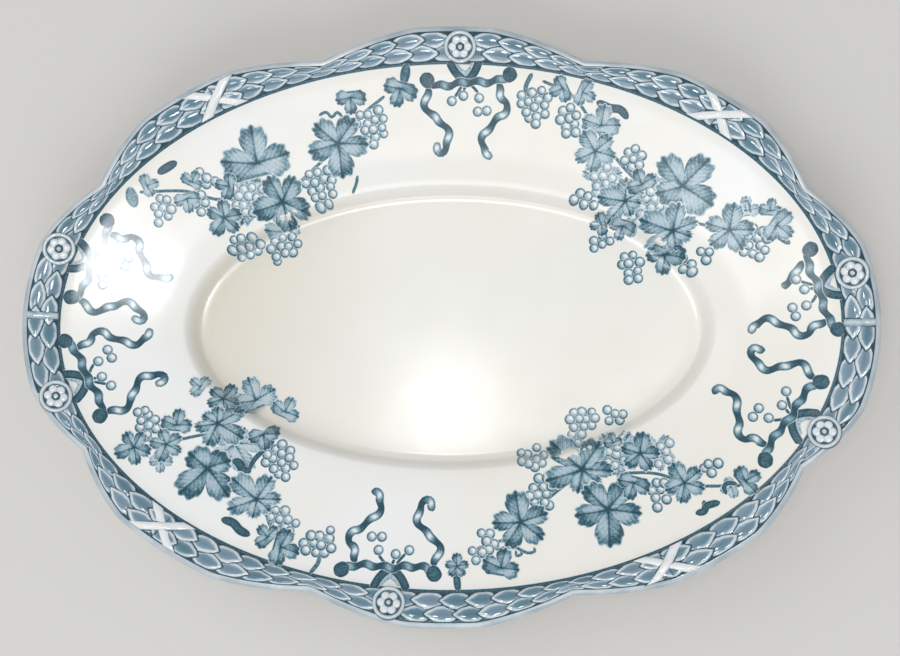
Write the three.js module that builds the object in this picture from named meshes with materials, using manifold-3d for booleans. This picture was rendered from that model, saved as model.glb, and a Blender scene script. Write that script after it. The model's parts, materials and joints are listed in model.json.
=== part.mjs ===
// Oval underplate for a sauce boat: an earthenware plate with a plain oval well, a wide flange, a scalloped
// edge, a foot ring luted underneath and a laurel border sprigged round the flange.
// Millimetres, +Z up, +X along the plate. The origin lies on the table, under the middle of the well.
import * as THREE from "three";
import { mergeVertices } from "three/addons/utils/BufferGeometryUtils.js";
import Module from "manifold-3d";

// Plate body
const PLATE_LENGTH = 230; // over the lobes at the two ends
const PLATE_WIDTH = 161.6;
const FLANGE_WIDTH = 41.5; // from the verge of the well to the crest of a lobe
const FLANGE_RISE = 10.5;
const FLANGE_CURVE = 1.15; // 1 is a straight flange, more turns its edge up
const CAVETTO_END = 4.4; // width of the well's side at the ends of the oval
const CAVETTO_SIDE = 2.6; // and along its long sides
const WELL_DEPTH = 6.5;
const WALL = 4.5;
const WALL_SPREAD = 2.5; // how far the outside of the cavetto stands off its inside
const FILLET_PULL = 0.32; // how long the cavetto stays low as it leaves the floor, from 0 to 1
const SHOULDER_PULL = 0.5; // and how early it turns over into the flange
const SHOULDER_HEIGHT = 0.9; // height of that turn, where 1 is the verge
const EDGE_ROUND = 1.2;

// Scalloped edge: flat-crested lobes that fall along straight flanks to a cusp
const CUSPS = [28.5, 70, 108, 149.5, 206.5, 250.5, 288, 329.5]; // degrees round the oval, trimmed by hand
const SCALLOP_DEPTH = 5.2;
const FLANK_ANGLE = 14; // degrees from a cusp to the crest of its lobe
const FLANK_CURVE = 1.2; // 1 is a straight flank, more softens it into the crest

// Foot ring
const FOOT_HEIGHT = 2.5;
const FOOT_WIDTH = 5; // where it is luted to the base
const FOOT_TAPER = 0.8; // each side leans in by this much towards the table
const FOOT_INSET = 2; // from the edge of the well's floor

// Relief border
const BORDER_WIDTH = 9.5; // from its inner line to the crest of a lobe
const LIP_WIDTH = 1.7; // plain lip between the border and the edge
const SLIP_GAP = 0.3; // bed of slip under a sprig, and between one sprig and the next
const BACKING = 0.4; // thickness of a sprig between its leaves
const LEAF_RISE = 0.8;
const LEAF_PITCH = 7.5; // from one leaf to the next in its row
const LEAF_ROWS = 3;
const RIBBON_WIDTH = 2.4;
const RIBBON_RISE = 0.6;
const RIBBON_OVERLAP = 0.2; // the upper ribbon of a cross stands this much higher
const TIE_LENGTH = 12; // along the border, from where a ribbon comes in to where it goes out
const BAND_LENGTH = 5; // plain band at each end of the plate

// Rosettes
const ROSETTE_DIAMETER = 9;
const ROSETTE_RISE = 1.3;
const ROSETTE_RING = 0.9; // width of the raised ring round the flower
const PETAL_REACH = 3; // from the middle of the flower to the tip of a petal
const PETALS = 6;
const BUTTON_RADIUS = 0.9;
const BUTTON_RISE = 0.3; // above the petals
const FLOWER_SINK = 0.9; // depth of the ground between the petals and the ring
const HOLE_MARGIN = 2; // a rosette's hole is cut this far past the garland's face

// Places round the border, in degrees round the oval. Rosettes and ties take turns.
const TIES = [
  { name: "end_band_right", kind: "band", at: 0 },
  { name: "ribbon_tie_upper_right", kind: "cross", at: 48 },
  { name: "ribbon_tie_upper_left", kind: "cross", at: 125 },
  { name: "end_band_left", kind: "band", at: 178 },
  { name: "ribbon_tie_lower_left", kind: "cross", at: 226 },
  { name: "ribbon_tie_lower_right", kind: "cross", at: 302 },
];
const ROSETTES = [
  { name: "rosette_right_upper", at: 10 },
  { name: "rosette_top", at: 88 },
  { name: "rosette_left_upper", at: 164 },
  { name: "rosette_left_lower", at: 195 },
  { name: "rosette_bottom", at: 262 },
  { name: "rosette_right_lower", at: 337 },
];

// How finely curves are stepped
const SECTOR_ANGLE = 4;
const CAVETTO_STEPS = 6;
const EDGE_STEPS = 4;
const FOOT_SECTORS = 72;
const COLUMNS_PER_LEAF = 4;
const RIBBON_STEPS = 4;
const ROSETTE_SECTORS = 4 * PETALS;
const CUTTER_SECTORS = 32;

// Worked out from the sizes above
const VERGE_A = PLATE_LENGTH / 2 - FLANGE_WIDTH;
const VERGE_B = PLATE_WIDTH / 2 - FLANGE_WIDTH;
const FLOOR_A = VERGE_A - CAVETTO_END;
const FLOOR_B = VERGE_B - CAVETTO_SIDE;
const FLOOR_Z = FOOT_HEIGHT + WALL;
const VERGE_Z = FLOOR_Z + WELL_DEPTH;
const BORDER_INNER = FLANGE_WIDTH - BORDER_WIDTH;
const ROSETTE_RADIUS = ROSETTE_DIAMETER / 2;
const TURN = 2 * Math.PI;

const rad = THREE.MathUtils.degToRad;
const lerp = THREE.MathUtils.lerp;
const glaze = new THREE.MeshStandardMaterial({ color: "#ebe8e2", roughness: 0.12, metalness: 0 });
const printedGlaze = new THREE.MeshStandardMaterial({ color: "#93a9b1", roughness: 0.14, metalness: 0 });
const paleGlaze = new THREE.MeshStandardMaterial({ color: "#d9dcda", roughness: 0.13, metalness: 0 });
const wipedFoot = new THREE.MeshStandardMaterial({ color: "#ddd5c6", roughness: 0.6, metalness: 0 });

const wasm = await Module();
wasm.setup();

// The flange is a family of ovals: reach is how far one lies outside the verge of the well.
function flangeZ(reach) {
  return VERGE_Z + FLANGE_RISE * Math.max(0, reach / FLANGE_WIDTH) ** FLANGE_CURVE;
}

function onFlange(angle, reach, lift) {
  const x = (VERGE_A + reach) * Math.cos(angle);
  const y = (VERGE_B + reach) * Math.sin(angle);
  return new THREE.Vector3(x, y, flangeZ(reach) + lift);
}

// The shorter way round from one angle to another, between half a turn back and half a turn on.
function turnTo(from, to) {
  return THREE.MathUtils.euclideanModulo(to - from + Math.PI, TURN) - Math.PI;
}

function angleToNearestCusp(angle) {
  const away = CUSPS.map((cusp) => Math.abs(turnTo(angle, rad(cusp))));
  return Math.min(...away);
}

function rimReach(angle) {
  const flank = Math.max(0, 1 - angleToNearestCusp(angle) / rad(FLANK_ANGLE));
  return FLANGE_WIDTH - SCALLOP_DEPTH * flank ** FLANK_CURVE;
}

function borderOuter(angle) {
  return rimReach(angle) - LIP_WIDTH;
}

function borderMiddle(angle) {
  return (BORDER_INNER + borderOuter(angle)) / 2;
}

// Millimetres along the border for each radian round the oval.
function borderSpeed(angle) {
  const along = (VERGE_A + borderMiddle(angle)) * Math.sin(angle);
  const across = (VERGE_B + borderMiddle(angle)) * Math.cos(angle);
  return Math.hypot(along, across);
}

function geometryFrom(points, triangles) {
  const geometry = new THREE.BufferGeometry().setFromPoints(points);
  geometry.setIndex(triangles);
  geometry.computeVertexNormals();
  return geometry;
}

// A closed shell from rings of points, the first round the top point and the last round the bottom one.
function shell(top, rings, bottom) {
  const count = rings[0].length;
  const points = [top, ...rings.flat(), bottom];
  const triangles = [];
  const at = (ring, i) => 1 + ring * count + (i % count);
  for (let i = 0; i < count; i++) {
    triangles.push(0, at(0, i), at(0, i + 1));
    for (let ring = 0; ring + 1 < rings.length; ring++) {
      triangles.push(at(ring, i), at(ring + 1, i), at(ring + 1, i + 1));
      triangles.push(at(ring, i), at(ring + 1, i + 1), at(ring, i + 1));
    }
    triangles.push(points.length - 1, at(rings.length - 1, i + 1), at(rings.length - 1, i));
  }
  return geometryFrom(points, triangles);
}

// A closed hoop whose rings of points follow each other round its section and come back to the first.
function hoop(rings) {
  const count = rings[0].length;
  const triangles = [];
  const at = (ring, i) => (ring % rings.length) * count + (i % count);
  for (let ring = 0; ring < rings.length; ring++) {
    for (let i = 0; i < count; i++) {
      triangles.push(at(ring, i), at(ring + 1, i), at(ring + 1, i + 1));
      triangles.push(at(ring, i), at(ring + 1, i + 1), at(ring, i + 1));
    }
  }
  return geometryFrom(rings.flat(), triangles);
}

// A sprig on the flange: a grid of columns and rows over a bed of slip, closed underneath and all round.
// place(u, v) gives an angle and a reach, and rise(column, row) the height of the sprig there.
function sprig(columns, rows, place, rise) {
  const points = [];
  const triangles = [];
  const top = (i, j) => i * (rows + 3) + j;
  const bed = (i, j) => i * (rows + 3) + rows + 1 + j;
  for (let i = 0; i <= columns; i++) {
    for (let j = 0; j <= rows; j++) {
      const spot = place(i / columns, j / rows);
      points.push(onFlange(spot.angle, spot.reach, SLIP_GAP + rise(i, j)));
    }
    for (const v of [0, 1]) {
      const spot = place(i / columns, v);
      points.push(onFlange(spot.angle, spot.reach, SLIP_GAP));
    }
  }
  for (let i = 0; i < columns; i++) {
    for (let j = 0; j < rows; j++) {
      triangles.push(top(i, j), top(i, j + 1), top(i + 1, j + 1));
      triangles.push(top(i, j), top(i + 1, j + 1), top(i + 1, j));
    }
    triangles.push(bed(i, 0), bed(i + 1, 0), bed(i + 1, 1), bed(i, 0), bed(i + 1, 1), bed(i, 1));
    triangles.push(top(i, 0), top(i + 1, 0), bed(i + 1, 0), top(i, 0), bed(i + 1, 0), bed(i, 0));
    triangles.push(top(i + 1, rows), top(i, rows), bed(i, 1), top(i + 1, rows), bed(i, 1), bed(i + 1, 1));
  }
  for (let j = 0; j < rows; j++) {
    triangles.push(bed(0, 0), top(0, j + 1), top(0, j));
    triangles.push(bed(columns, 0), top(columns, j), top(columns, j + 1));
  }
  triangles.push(bed(0, 0), bed(0, 1), top(0, rows));
  triangles.push(bed(columns, 0), top(columns, rows), bed(columns, 1));
  return geometryFrom(points, triangles);
}

function solidFrom(geometry) {
  const bare = geometry.clone();
  bare.deleteAttribute("normal");
  bare.deleteAttribute("uv");
  const merged = mergeVertices(bare);
  const triVerts = new Uint32Array(merged.index.array);
  const vertProperties = merged.attributes.position.array;
  return new wasm.Manifold(new wasm.Mesh({ numProp: 3, vertProperties, triVerts }));
}

function geometryOf(solid) {
  const mesh = solid.getMesh();
  const geometry = new THREE.BufferGeometry();
  geometry.setAttribute("position", new THREE.BufferAttribute(mesh.vertProperties, mesh.numProp));
  geometry.setIndex(new THREE.BufferAttribute(mesh.triVerts, 1));
  geometry.computeVertexNormals();
  return geometry;
}

function piece(name, geometry, material) {
  const mesh = new THREE.Mesh(geometry, material);
  mesh.name = name;
  return mesh;
}

// Plate body: one shell from the middle of the floor, up the cavetto, out along the flange, round the edge
// and back underneath to the flat base.
function plateBody() {
  const angles = [];
  CUSPS.forEach((cusp, i) => {
    const span = THREE.MathUtils.euclideanModulo(CUSPS[(i + 1) % CUSPS.length] - cusp, 360);
    const steps = Math.round(span / SECTOR_ANGLE);
    for (let step = 0; step < steps; step++) {
      angles.push(rad(cusp + (span * step) / steps));
    }
  });

  // The cavetto's side, from 0 at the floor to 1 at the verge, with a tight fillet and a soft shoulder.
  const side = new THREE.CubicBezierCurve(
    new THREE.Vector2(0, 0),
    new THREE.Vector2(FILLET_PULL, 0),
    new THREE.Vector2(SHOULDER_PULL, SHOULDER_HEIGHT),
    new THREE.Vector2(1, 1),
  );
  const sidePoints = side.getPoints(CAVETTO_STEPS);
  const sideRing = (point, spread, lowZ, highZ) =>
    angles.map((angle) => {
      const a = FLOOR_A + spread + CAVETTO_END * point.x;
      const b = FLOOR_B + spread + CAVETTO_SIDE * point.x;
      return new THREE.Vector3(a * Math.cos(angle), b * Math.sin(angle), lerp(lowZ, highZ, point.y));
    });
  const flangeRing = (reachAt, lift) => angles.map((angle) => onFlange(angle, reachAt(angle), lift));

  const rings = sidePoints.map((point) => sideRing(point, 0, FLOOR_Z, VERGE_Z));
  rings.push(flangeRing(() => BORDER_INNER / 2, 0));
  rings.push(flangeRing(() => BORDER_INNER, 0));
  rings.push(flangeRing((angle) => rimReach(angle) - EDGE_ROUND, 0));
  for (let step = 1; step < EDGE_STEPS; step++) {
    const turn = (Math.PI * step) / EDGE_STEPS;
    const pulledIn = EDGE_ROUND * (1 - Math.sin(turn));
    rings.push(flangeRing((angle) => rimReach(angle) - pulledIn, (WALL * (Math.cos(turn) - 1)) / 2));
  }
  rings.push(flangeRing((angle) => rimReach(angle) - EDGE_ROUND, -WALL));
  rings.push(flangeRing(() => BORDER_INNER, -WALL));
  rings.push(flangeRing(() => BORDER_INNER / 2, -WALL));
  const shoulderZ = flangeZ(WALL_SPREAD) - WALL;
  rings.push(...sidePoints.map((point) => sideRing(point, WALL_SPREAD, FOOT_HEIGHT, shoulderZ)).reverse());

  const top = new THREE.Vector3(0, 0, FLOOR_Z);
  const bottom = new THREE.Vector3(0, 0, FOOT_HEIGHT);
  return piece("plate_body", shell(top, rings, bottom), glaze);
}

// Foot ring: an oval strip of clay under the base, a little narrower at the table.
function footRing() {
  const section = [
    [0, FOOT_HEIGHT],
    [FOOT_TAPER, 0],
    [FOOT_WIDTH - FOOT_TAPER, 0],
    [FOOT_WIDTH, FOOT_HEIGHT],
  ];
  const rings = section.map(([inward, z]) => {
    const a = FLOOR_A - FOOT_INSET - inward;
    const b = FLOOR_B - FOOT_INSET - inward;
    return Array.from({ length: FOOT_SECTORS }, (_, i) => {
      const angle = (TURN * i) / FOOT_SECTORS;
      return new THREE.Vector3(a * Math.cos(angle), b * Math.sin(angle), z);
    });
  });
  return piece("foot_ring", hoop(rings), wipedFoot);
}

// A stretch of the border between two angles, from its inner line out to the lip.
function borderStretch(from, to) {
  return (u, v) => {
    const angle = lerp(from, to, u);
    return { angle, reach: lerp(BORDER_INNER, borderOuter(angle), v) };
  };
}

// One ribbon of a cross, from the inner line at one angle to the lip at another.
function ribbon(from, to, rise) {
  const width = RIBBON_WIDTH / borderSpeed((from + to) / 2);
  const place = (u, v) => {
    const middle = lerp(from, to, u);
    return { angle: middle + width * (0.5 - v), reach: lerp(BORDER_INNER, borderOuter(middle), u) };
  };
  return solidFrom(sprig(RIBBON_STEPS, 1, place, () => rise));
}

function tieLength(tie) {
  return tie.kind === "cross" ? TIE_LENGTH + RIBBON_WIDTH : BAND_LENGTH;
}

// Crossed ribbons over a thin backing, where two garlands are bound together.
function crossedTie(tie) {
  const middle = rad(tie.at);
  const half = TIE_LENGTH / 2 / borderSpeed(middle);
  const wide = tieLength(tie) / 2 / borderSpeed(middle);
  const backing = solidFrom(
    sprig(2 * RIBBON_STEPS, 1, borderStretch(middle - wide, middle + wide), () => BACKING),
  );
  const lower = ribbon(middle - half, middle + half, BACKING + RIBBON_RISE);
  const upper = ribbon(middle + half, middle - half, BACKING + RIBBON_RISE + RIBBON_OVERLAP);
  return piece(tie.name, geometryOf(backing.add(lower).add(upper)), paleGlaze);
}

// A plain rounded band across the border at an end of the plate.
function endBand(tie) {
  const middle = rad(tie.at);
  const half = tieLength(tie) / 2 / borderSpeed(middle);
  const columns = 2 * RIBBON_STEPS;
  const rise = (i) => BACKING + RIBBON_RISE * Math.sin((Math.PI * i) / columns);
  return piece(tie.name, sprig(columns, 2, borderStretch(middle - half, middle + half), rise), paleGlaze);
}

// A frame on the flange: its position on the bed of slip, and its Z square to the surface.
function seatOnFlange(angle, reach) {
  const nudge = 0.1;
  const here = onFlange(angle, reach, 0);
  const outward = onFlange(angle, reach + nudge, 0).sub(here);
  const along = onFlange(angle + nudge / borderSpeed(angle), reach, 0).sub(here);
  const normal = outward.cross(along).normalize();
  const seat = new THREE.Group();
  seat.position.copy(here).addScaledVector(normal, SLIP_GAP);
  seat.quaternion.setFromUnitVectors(new THREE.Vector3(0, 0, 1), normal);
  return seat;
}

function rosetteSeat(rosette) {
  const angle = rad(rosette.at);
  return seatOnFlange(angle, borderMiddle(angle));
}

// A rosette: a button in a ring of petals, inside a raised rim.
function rosetteGeometry() {
  const ringInner = ROSETTE_RADIUS - ROSETTE_RING;
  const ground = ROSETTE_RISE - FLOWER_SINK;
  const petalTop = (i) => {
    const lobe = Math.abs(Math.cos((PETALS / 2) * ((TURN * i) / ROSETTE_SECTORS)));
    return lerp(ground, ROSETTE_RISE, lobe);
  };
  const profile = [
    [BUTTON_RADIUS / 2, () => ROSETTE_RISE + BUTTON_RISE],
    [BUTTON_RADIUS, () => ROSETTE_RISE],
    [(BUTTON_RADIUS + PETAL_REACH) / 2, petalTop],
    [PETAL_REACH, (i) => (petalTop(i) + ground) / 2],
    [(PETAL_REACH + ringInner) / 2, () => ground],
    [ringInner, () => ROSETTE_RISE],
    [ROSETTE_RADIUS - ROSETTE_RING / 3, () => ROSETTE_RISE],
    [ROSETTE_RADIUS, () => ground],
    [ROSETTE_RADIUS, () => 0],
  ];
  const rings = profile.map(([radius, height]) =>
    Array.from({ length: ROSETTE_SECTORS }, (_, i) => {
      const angle = (TURN * i) / ROSETTE_SECTORS;
      return new THREE.Vector3(radius * Math.cos(angle), radius * Math.sin(angle), height(i));
    }),
  );
  return shell(new THREE.Vector3(0, 0, ROSETTE_RISE + BUTTON_RISE), rings, new THREE.Vector3(0, 0, 0));
}

// The hole that a rosette leaves in the garlands beside it, as a solid square to the flange.
function rosetteHole(rosette) {
  const depth = 2 * (BACKING + LEAF_RISE + HOLE_MARGIN);
  const cutter = new THREE.CylinderGeometry(
    ROSETTE_RADIUS + SLIP_GAP,
    ROSETTE_RADIUS + SLIP_GAP,
    depth,
    CUTTER_SECTORS,
  );
  cutter.rotateX(Math.PI / 2);
  const seat = rosetteSeat(rosette);
  seat.updateMatrix();
  cutter.applyMatrix4(seat.matrix);
  return solidFrom(cutter);
}

// A garland: rows of leaves that overlap like tiles, from a tie up to the rosette that they point at.
function garland(name, tie, rosette) {
  const tieAngle = rad(tie.at);
  const turn = turnTo(tieAngle, rad(rosette.at));
  const way = Math.sign(turn);
  const start = tieAngle + (way * (tieLength(tie) / 2 + SLIP_GAP)) / borderSpeed(tieAngle);
  const end = tieAngle + turn - (way * SLIP_GAP) / 2 / borderSpeed(tieAngle + turn);
  const length = Math.abs(end - start) * borderSpeed((start + end) / 2);
  const leaves = Math.max(1, Math.round(length / LEAF_PITCH));
  const columns = leaves * COLUMNS_PER_LEAF;
  const rise = (i, j) => {
    const fromTie = way > 0 ? i : columns - i;
    const onRidge = j % 2 === 1 && i > 0 && i < columns;
    const stagger = ((j - 1) / 2) % 2 === 1 ? COLUMNS_PER_LEAF / 2 : 0;
    const step = (fromTie + stagger) % COLUMNS_PER_LEAF;
    return onRidge ? BACKING + (LEAF_RISE * (step + 1)) / COLUMNS_PER_LEAF : BACKING;
  };
  const stretch = borderStretch(Math.min(start, end), Math.max(start, end));
  const whole = solidFrom(sprig(columns, 2 * LEAF_ROWS, stretch, rise));
  return piece(name, geometryOf(whole.subtract(rosetteHole(rosette))), printedGlaze);
}

const underplate = new THREE.Group();
underplate.name = "oval_underplate";
underplate.add(plateBody(), footRing());

const border = new THREE.Group();
underplate.add(border);
for (const tie of TIES) {
  border.add(tie.kind === "cross" ? crossedTie(tie) : endBand(tie));
}
for (const rosette of ROSETTES) {
  const seat = rosetteSeat(rosette);
  seat.add(piece(rosette.name, rosetteGeometry(), paleGlaze));
  border.add(seat);
}

// Each rosette has a garland from the tie before it and one from the tie after it.
ROSETTES.forEach((rosette, i) => {
  border.add(garland(`garland_before_${rosette.name}`, TIES[i], rosette));
  border.add(garland(`garland_after_${rosette.name}`, TIES[(i + 1) % TIES.length], rosette));
});

export default underplate;
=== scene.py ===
# %% [markdown]
# # An oval underplate in cream-glazed earthenware
# The plate is one fired body: a flat well, a soft step, a wide sloping flange and an edge of eight lobes.
# A border of laurel in low relief runs round the edge, tied with ribbons and set with rosettes. Sprays of
# vine and six bows are printed in slate-teal under the glaze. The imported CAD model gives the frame. This
# script repeats its main sizes in millimetres, turns them to metres where a mesh is made, and dresses it.

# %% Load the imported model
import json
import math

import bpy
import numpy as np
from mathutils import Matrix, Vector

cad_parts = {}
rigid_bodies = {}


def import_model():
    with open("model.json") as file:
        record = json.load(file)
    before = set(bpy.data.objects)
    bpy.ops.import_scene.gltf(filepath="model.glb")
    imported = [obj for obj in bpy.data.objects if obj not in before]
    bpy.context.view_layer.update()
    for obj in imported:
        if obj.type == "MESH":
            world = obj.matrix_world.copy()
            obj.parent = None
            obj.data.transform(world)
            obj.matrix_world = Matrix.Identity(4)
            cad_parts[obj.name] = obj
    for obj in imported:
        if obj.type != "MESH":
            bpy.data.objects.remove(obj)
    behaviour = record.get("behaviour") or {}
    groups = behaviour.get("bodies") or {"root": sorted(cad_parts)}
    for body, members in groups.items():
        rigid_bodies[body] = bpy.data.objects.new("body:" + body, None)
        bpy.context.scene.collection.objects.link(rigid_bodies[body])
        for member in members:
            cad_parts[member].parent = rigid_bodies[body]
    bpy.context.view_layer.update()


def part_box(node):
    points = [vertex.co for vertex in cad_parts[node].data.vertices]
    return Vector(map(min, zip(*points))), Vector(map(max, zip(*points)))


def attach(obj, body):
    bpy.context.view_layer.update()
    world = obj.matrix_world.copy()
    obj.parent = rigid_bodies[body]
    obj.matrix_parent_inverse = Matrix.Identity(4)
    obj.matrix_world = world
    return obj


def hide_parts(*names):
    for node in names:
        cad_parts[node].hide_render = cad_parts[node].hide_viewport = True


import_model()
scene = bpy.context.scene
MM = 0.001

# %% [markdown]
# ## Camera, floor and light
# The photograph was taken from almost straight above, with a lamp beside the lens. Its glare lies in the
# well, and more glare lies on the left of the flange and along the foot of the well's step. So one small
# softbox stands beside the camera, two hang high above for the other glare, and two large ones and a pale
# world do the lighting.

# %% Camera
TARGET = Vector((0, 0, 22.5 * MM))
LOOK_FROM = Vector((0.0481, -0.0697, 1.0)).normalized()
DISTANCE = 427.8 * MM
IMAGE_WIDTH = 900
FOCAL_PIXELS = 1600
SENSOR_WIDTH = 36.0
AIM_OFFSET = (3.8, -4.2)

rightward = Vector((0, 1, 0)).cross(LOOK_FROM).normalized()
upward = LOOK_FROM.cross(rightward)
camera = bpy.data.objects.new("camera", bpy.data.cameras.new("camera"))
scene.collection.objects.link(camera)
aim = Matrix((rightward, upward, LOOK_FROM)).transposed().to_4x4()
camera.matrix_world = Matrix.Translation(TARGET + LOOK_FROM * DISTANCE) @ aim
camera.data.sensor_width = SENSOR_WIDTH
camera.data.lens = FOCAL_PIXELS * SENSOR_WIDTH / IMAGE_WIDTH
camera.data.shift_x = AIM_OFFSET[0] / IMAGE_WIDTH
camera.data.shift_y = AIM_OFFSET[1] / IMAGE_WIDTH
scene.camera = camera
print("camera at", [round(c / MM) for c in camera.location], "mm")


# %% Colours and nodes
def linear(hex_colour):
    """An sRGB hex value as linear colour with alpha."""
    parts = [int(hex_colour[i : i + 2], 16) / 255 for i in (1, 3, 5)]
    return [c / 12.92 if c <= 0.04045 else ((c + 0.055) / 1.055) ** 2.4 for c in parts] + [1.0]


def add(tree, kind, inputs=(), stops=(), **settings):
    """Adds a node with its settings. Inputs, in order or by key, are values, sockets or nodes to link."""
    made = tree.nodes.new(kind)
    for name, value in settings.items():
        setattr(made, name, value)
    for key, value in inputs.items() if isinstance(inputs, dict) else enumerate(inputs):
        if isinstance(value, bpy.types.Node):
            value = value.outputs[0]
        if isinstance(value, bpy.types.NodeSocket):
            tree.links.new(value, made.inputs[key])
        else:
            made.inputs[key].default_value = value
    for i, (position, colour) in enumerate(stops):
        points = made.color_ramp.elements
        point = points[i] if i < 2 else points.new(position)
        point.position = position
        point.color = linear(colour)
    return made


print("half grey is", round(linear("#808080")[0], 3), "in linear light")

# %% Floor and lights, with places and sizes in metres
FLOOR_HALF = 1.5
FLOOR_COLOUR, FLOOR_ROUGHNESS = "#d2d1ce", 0.9
WORLD_COLOUR, WORLD_STRENGTH = "#f4f4f6", 0.6
SQUARE = ((-1, -1), (1, -1), (1, 1), (-1, 1))
SOFTBOXES = {
    "window_softbox": ((-0.9, 0.6, 1.1), (1.3, 1.3), 3.9),
    "fill_softbox": ((-0.1, -1.05, 1.0), (1.0, 1.0), 5.8),
    "lens_softbox": ((-0.02, -0.009, 0.44), (0.032, 0.028), 0.085),
    "ceiling_softbox_right": ((0.235, -0.145, 1.475), (0.2, 0.16), 2.6),
    "ceiling_softbox_left": ((-0.13, -0.2, 1.3), (0.17, 0.17), 0.9),
}

sheet = bpy.data.meshes.new("floor")
sheet.from_pydata([(FLOOR_HALF * x, FLOOR_HALF * y, 0) for x, y in SQUARE], [], [(0, 1, 2, 3)])
floor = bpy.data.objects.new("floor", sheet)
scene.collection.objects.link(floor)
paper = bpy.data.materials.new("matt_paper")
paper.use_nodes = True
matt = paper.node_tree.nodes["Principled BSDF"].inputs
matt["Base Color"].default_value = linear(FLOOR_COLOUR)
matt["Roughness"].default_value = FLOOR_ROUGHNESS
sheet.materials.append(paper)

world = bpy.data.worlds.new("pale_room")
world.use_nodes = True
sky = world.node_tree.nodes["Background"].inputs
sky["Color"].default_value = linear(WORLD_COLOUR)
sky["Strength"].default_value = WORLD_STRENGTH
scene.world = world
scene.view_settings.view_transform = "Standard"
for name, (stand, size, power) in SOFTBOXES.items():
    lamp = bpy.data.lights.new(name, "AREA")
    lamp.shape = "ELLIPSE"
    lamp.size, lamp.size_y = size
    lamp.energy = power
    box = bpy.data.objects.new(name, lamp)
    scene.collection.objects.link(box)
    box.location = stand
    box.rotation_euler = (Vector(stand) - TARGET).to_track_quat("Z", "Y").to_euler()
print("softboxes:", list(SOFTBOXES))

# %% [markdown]
# ## The rule of the oval
# Every part of the plate follows one rule. The verge is the ellipse where the flange starts, and "reach"
# is how far outside it a point lies. All ellipses of the plate share that rule, so leaves, ribbons and
# print can be placed by an angle and a reach. The numbers repeat those of the CAD source, apart from
# three soft forms that the glaze adds: a shoulder that dips at the verge, a cove along the border and a
# gather at the foot of the step.

# %% Sizes of the oval
VERGE_A, VERGE_B, VERGE_Z = 73.5, 39.3, 13.5
FLOOR_A, FLOOR_B, FLOOR_Z = 69.1, 36.7, 7.0
FLOOR_SLUMP, WELL_DEPTH = 0.2, 6.5
FLANGE_WIDTH, FLANGE_RISE, FLANGE_CURVE = 41.5, 10.5, 1.15
STEP_SHAPE = ((0, 0), (0.32, 0), (0.5, 0.9), (1, 1))
CUSPS = (28.5, 70, 108, 149.5, 206.5, 250.5, 288, 329.5)
SCALLOP_DEPTH, FLANK_ANGLE, FLANK_CURVE = 5.2, 14.0, 1.2
BORDER_INNER, LIP_WIDTH = 32.0, 1.7
SHOULDER_DIP, SHOULDER_WIDTH = 0.7, 8.0
COVE_RISE, COVE_WIDTH = 0.25, 3.5
GATHER_RISE, GATHER_FROM = 0.3, 0.95
GATHERED_STEP = ((0, 0.052), (0.32, 0.105), (0.5, 0.9), (1, 1))
print("flange is", FLANGE_WIDTH, "mm wide and rises", FLANGE_RISE, "mm")


# %% Heights of the well and the flange
def floor_height(share):
    """Height of the well's floor at a share of its size, with glaze gathered round its edge."""
    gather = GATHER_RISE * np.clip((share - GATHER_FROM) / (1 - GATHER_FROM), 0, 1) ** 2
    return FLOOR_Z - FLOOR_SLUMP * (1 - share**2) + gather


def step_height(share):
    """Height of the step's top at a share of its rise."""
    return FLOOR_Z + (WELL_DEPTH - SHOULDER_DIP) * share


def step_curve(steps, shape):
    """Width and height shares of the step from the well's floor up to the flange."""
    t = np.linspace(0, 1, steps)[:, None]
    p = np.array(shape)
    return (1 - t) ** 3 * p[0] + 3 * t * (1 - t) ** 2 * p[1] + 3 * t**2 * (1 - t) * p[2] + t**3 * p[3]


def flange_height(reach):
    """Height of the flange's top at a reach, with a soft shoulder at the verge and a cove at the border."""
    shoulder = SHOULDER_DIP * np.clip(1 - reach / SHOULDER_WIDTH, 0, 1) ** 2
    cove = COVE_RISE * np.clip(1 + (reach - BORDER_INNER) / COVE_WIDTH, 0, 1) ** 2
    return VERGE_Z + FLANGE_RISE * (np.maximum(reach, 0) / FLANGE_WIDTH) ** FLANGE_CURVE - shoulder + cove


print("flange ends at a height of", round(float(flange_height(FLANGE_WIDTH)), 2), "mm")


# %% Places on the border
def border_outer(angle):
    """Reach of the border's outer edge at an angle in degrees."""
    gap = min(abs((angle - cusp + 180) % 360 - 180) for cusp in CUSPS)
    pulled = SCALLOP_DEPTH * max(0, 1 - gap / FLANK_ANGLE) ** FLANK_CURVE
    return FLANGE_WIDTH - pulled - LIP_WIDTH


def border_middle(angle):
    """Reach of the border's middle line."""
    return (BORDER_INNER + border_outer(angle)) / 2


def on_flange(angle, reach, lift=0.0):
    """A point of the flange's top, by angle in degrees, reach and lift."""
    t = math.radians(angle)
    x, y = (VERGE_A + reach) * math.cos(t), (VERGE_B + reach) * math.sin(t)
    return Vector((x, y, float(flange_height(reach)) + lift))


def flange_normal(angle, reach):
    """The direction that the flange's top faces."""
    step = 0.2
    along = on_flange(angle + step, reach) - on_flange(angle - step, reach)
    outward = on_flange(angle, reach + step) - on_flange(angle, reach - step)
    return outward.cross(along).normalized()


def degrees_for(length, angle):
    """The turn in degrees that goes a length along the border's middle line."""
    t, mid = math.radians(angle), border_middle(angle)
    return math.degrees(length / math.hypot((VERGE_A + mid) * math.sin(t), (VERGE_B + mid) * math.cos(t)))


print("border is", round(border_outer(48) - BORDER_INNER, 2), "mm wide at a lobe")

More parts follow.
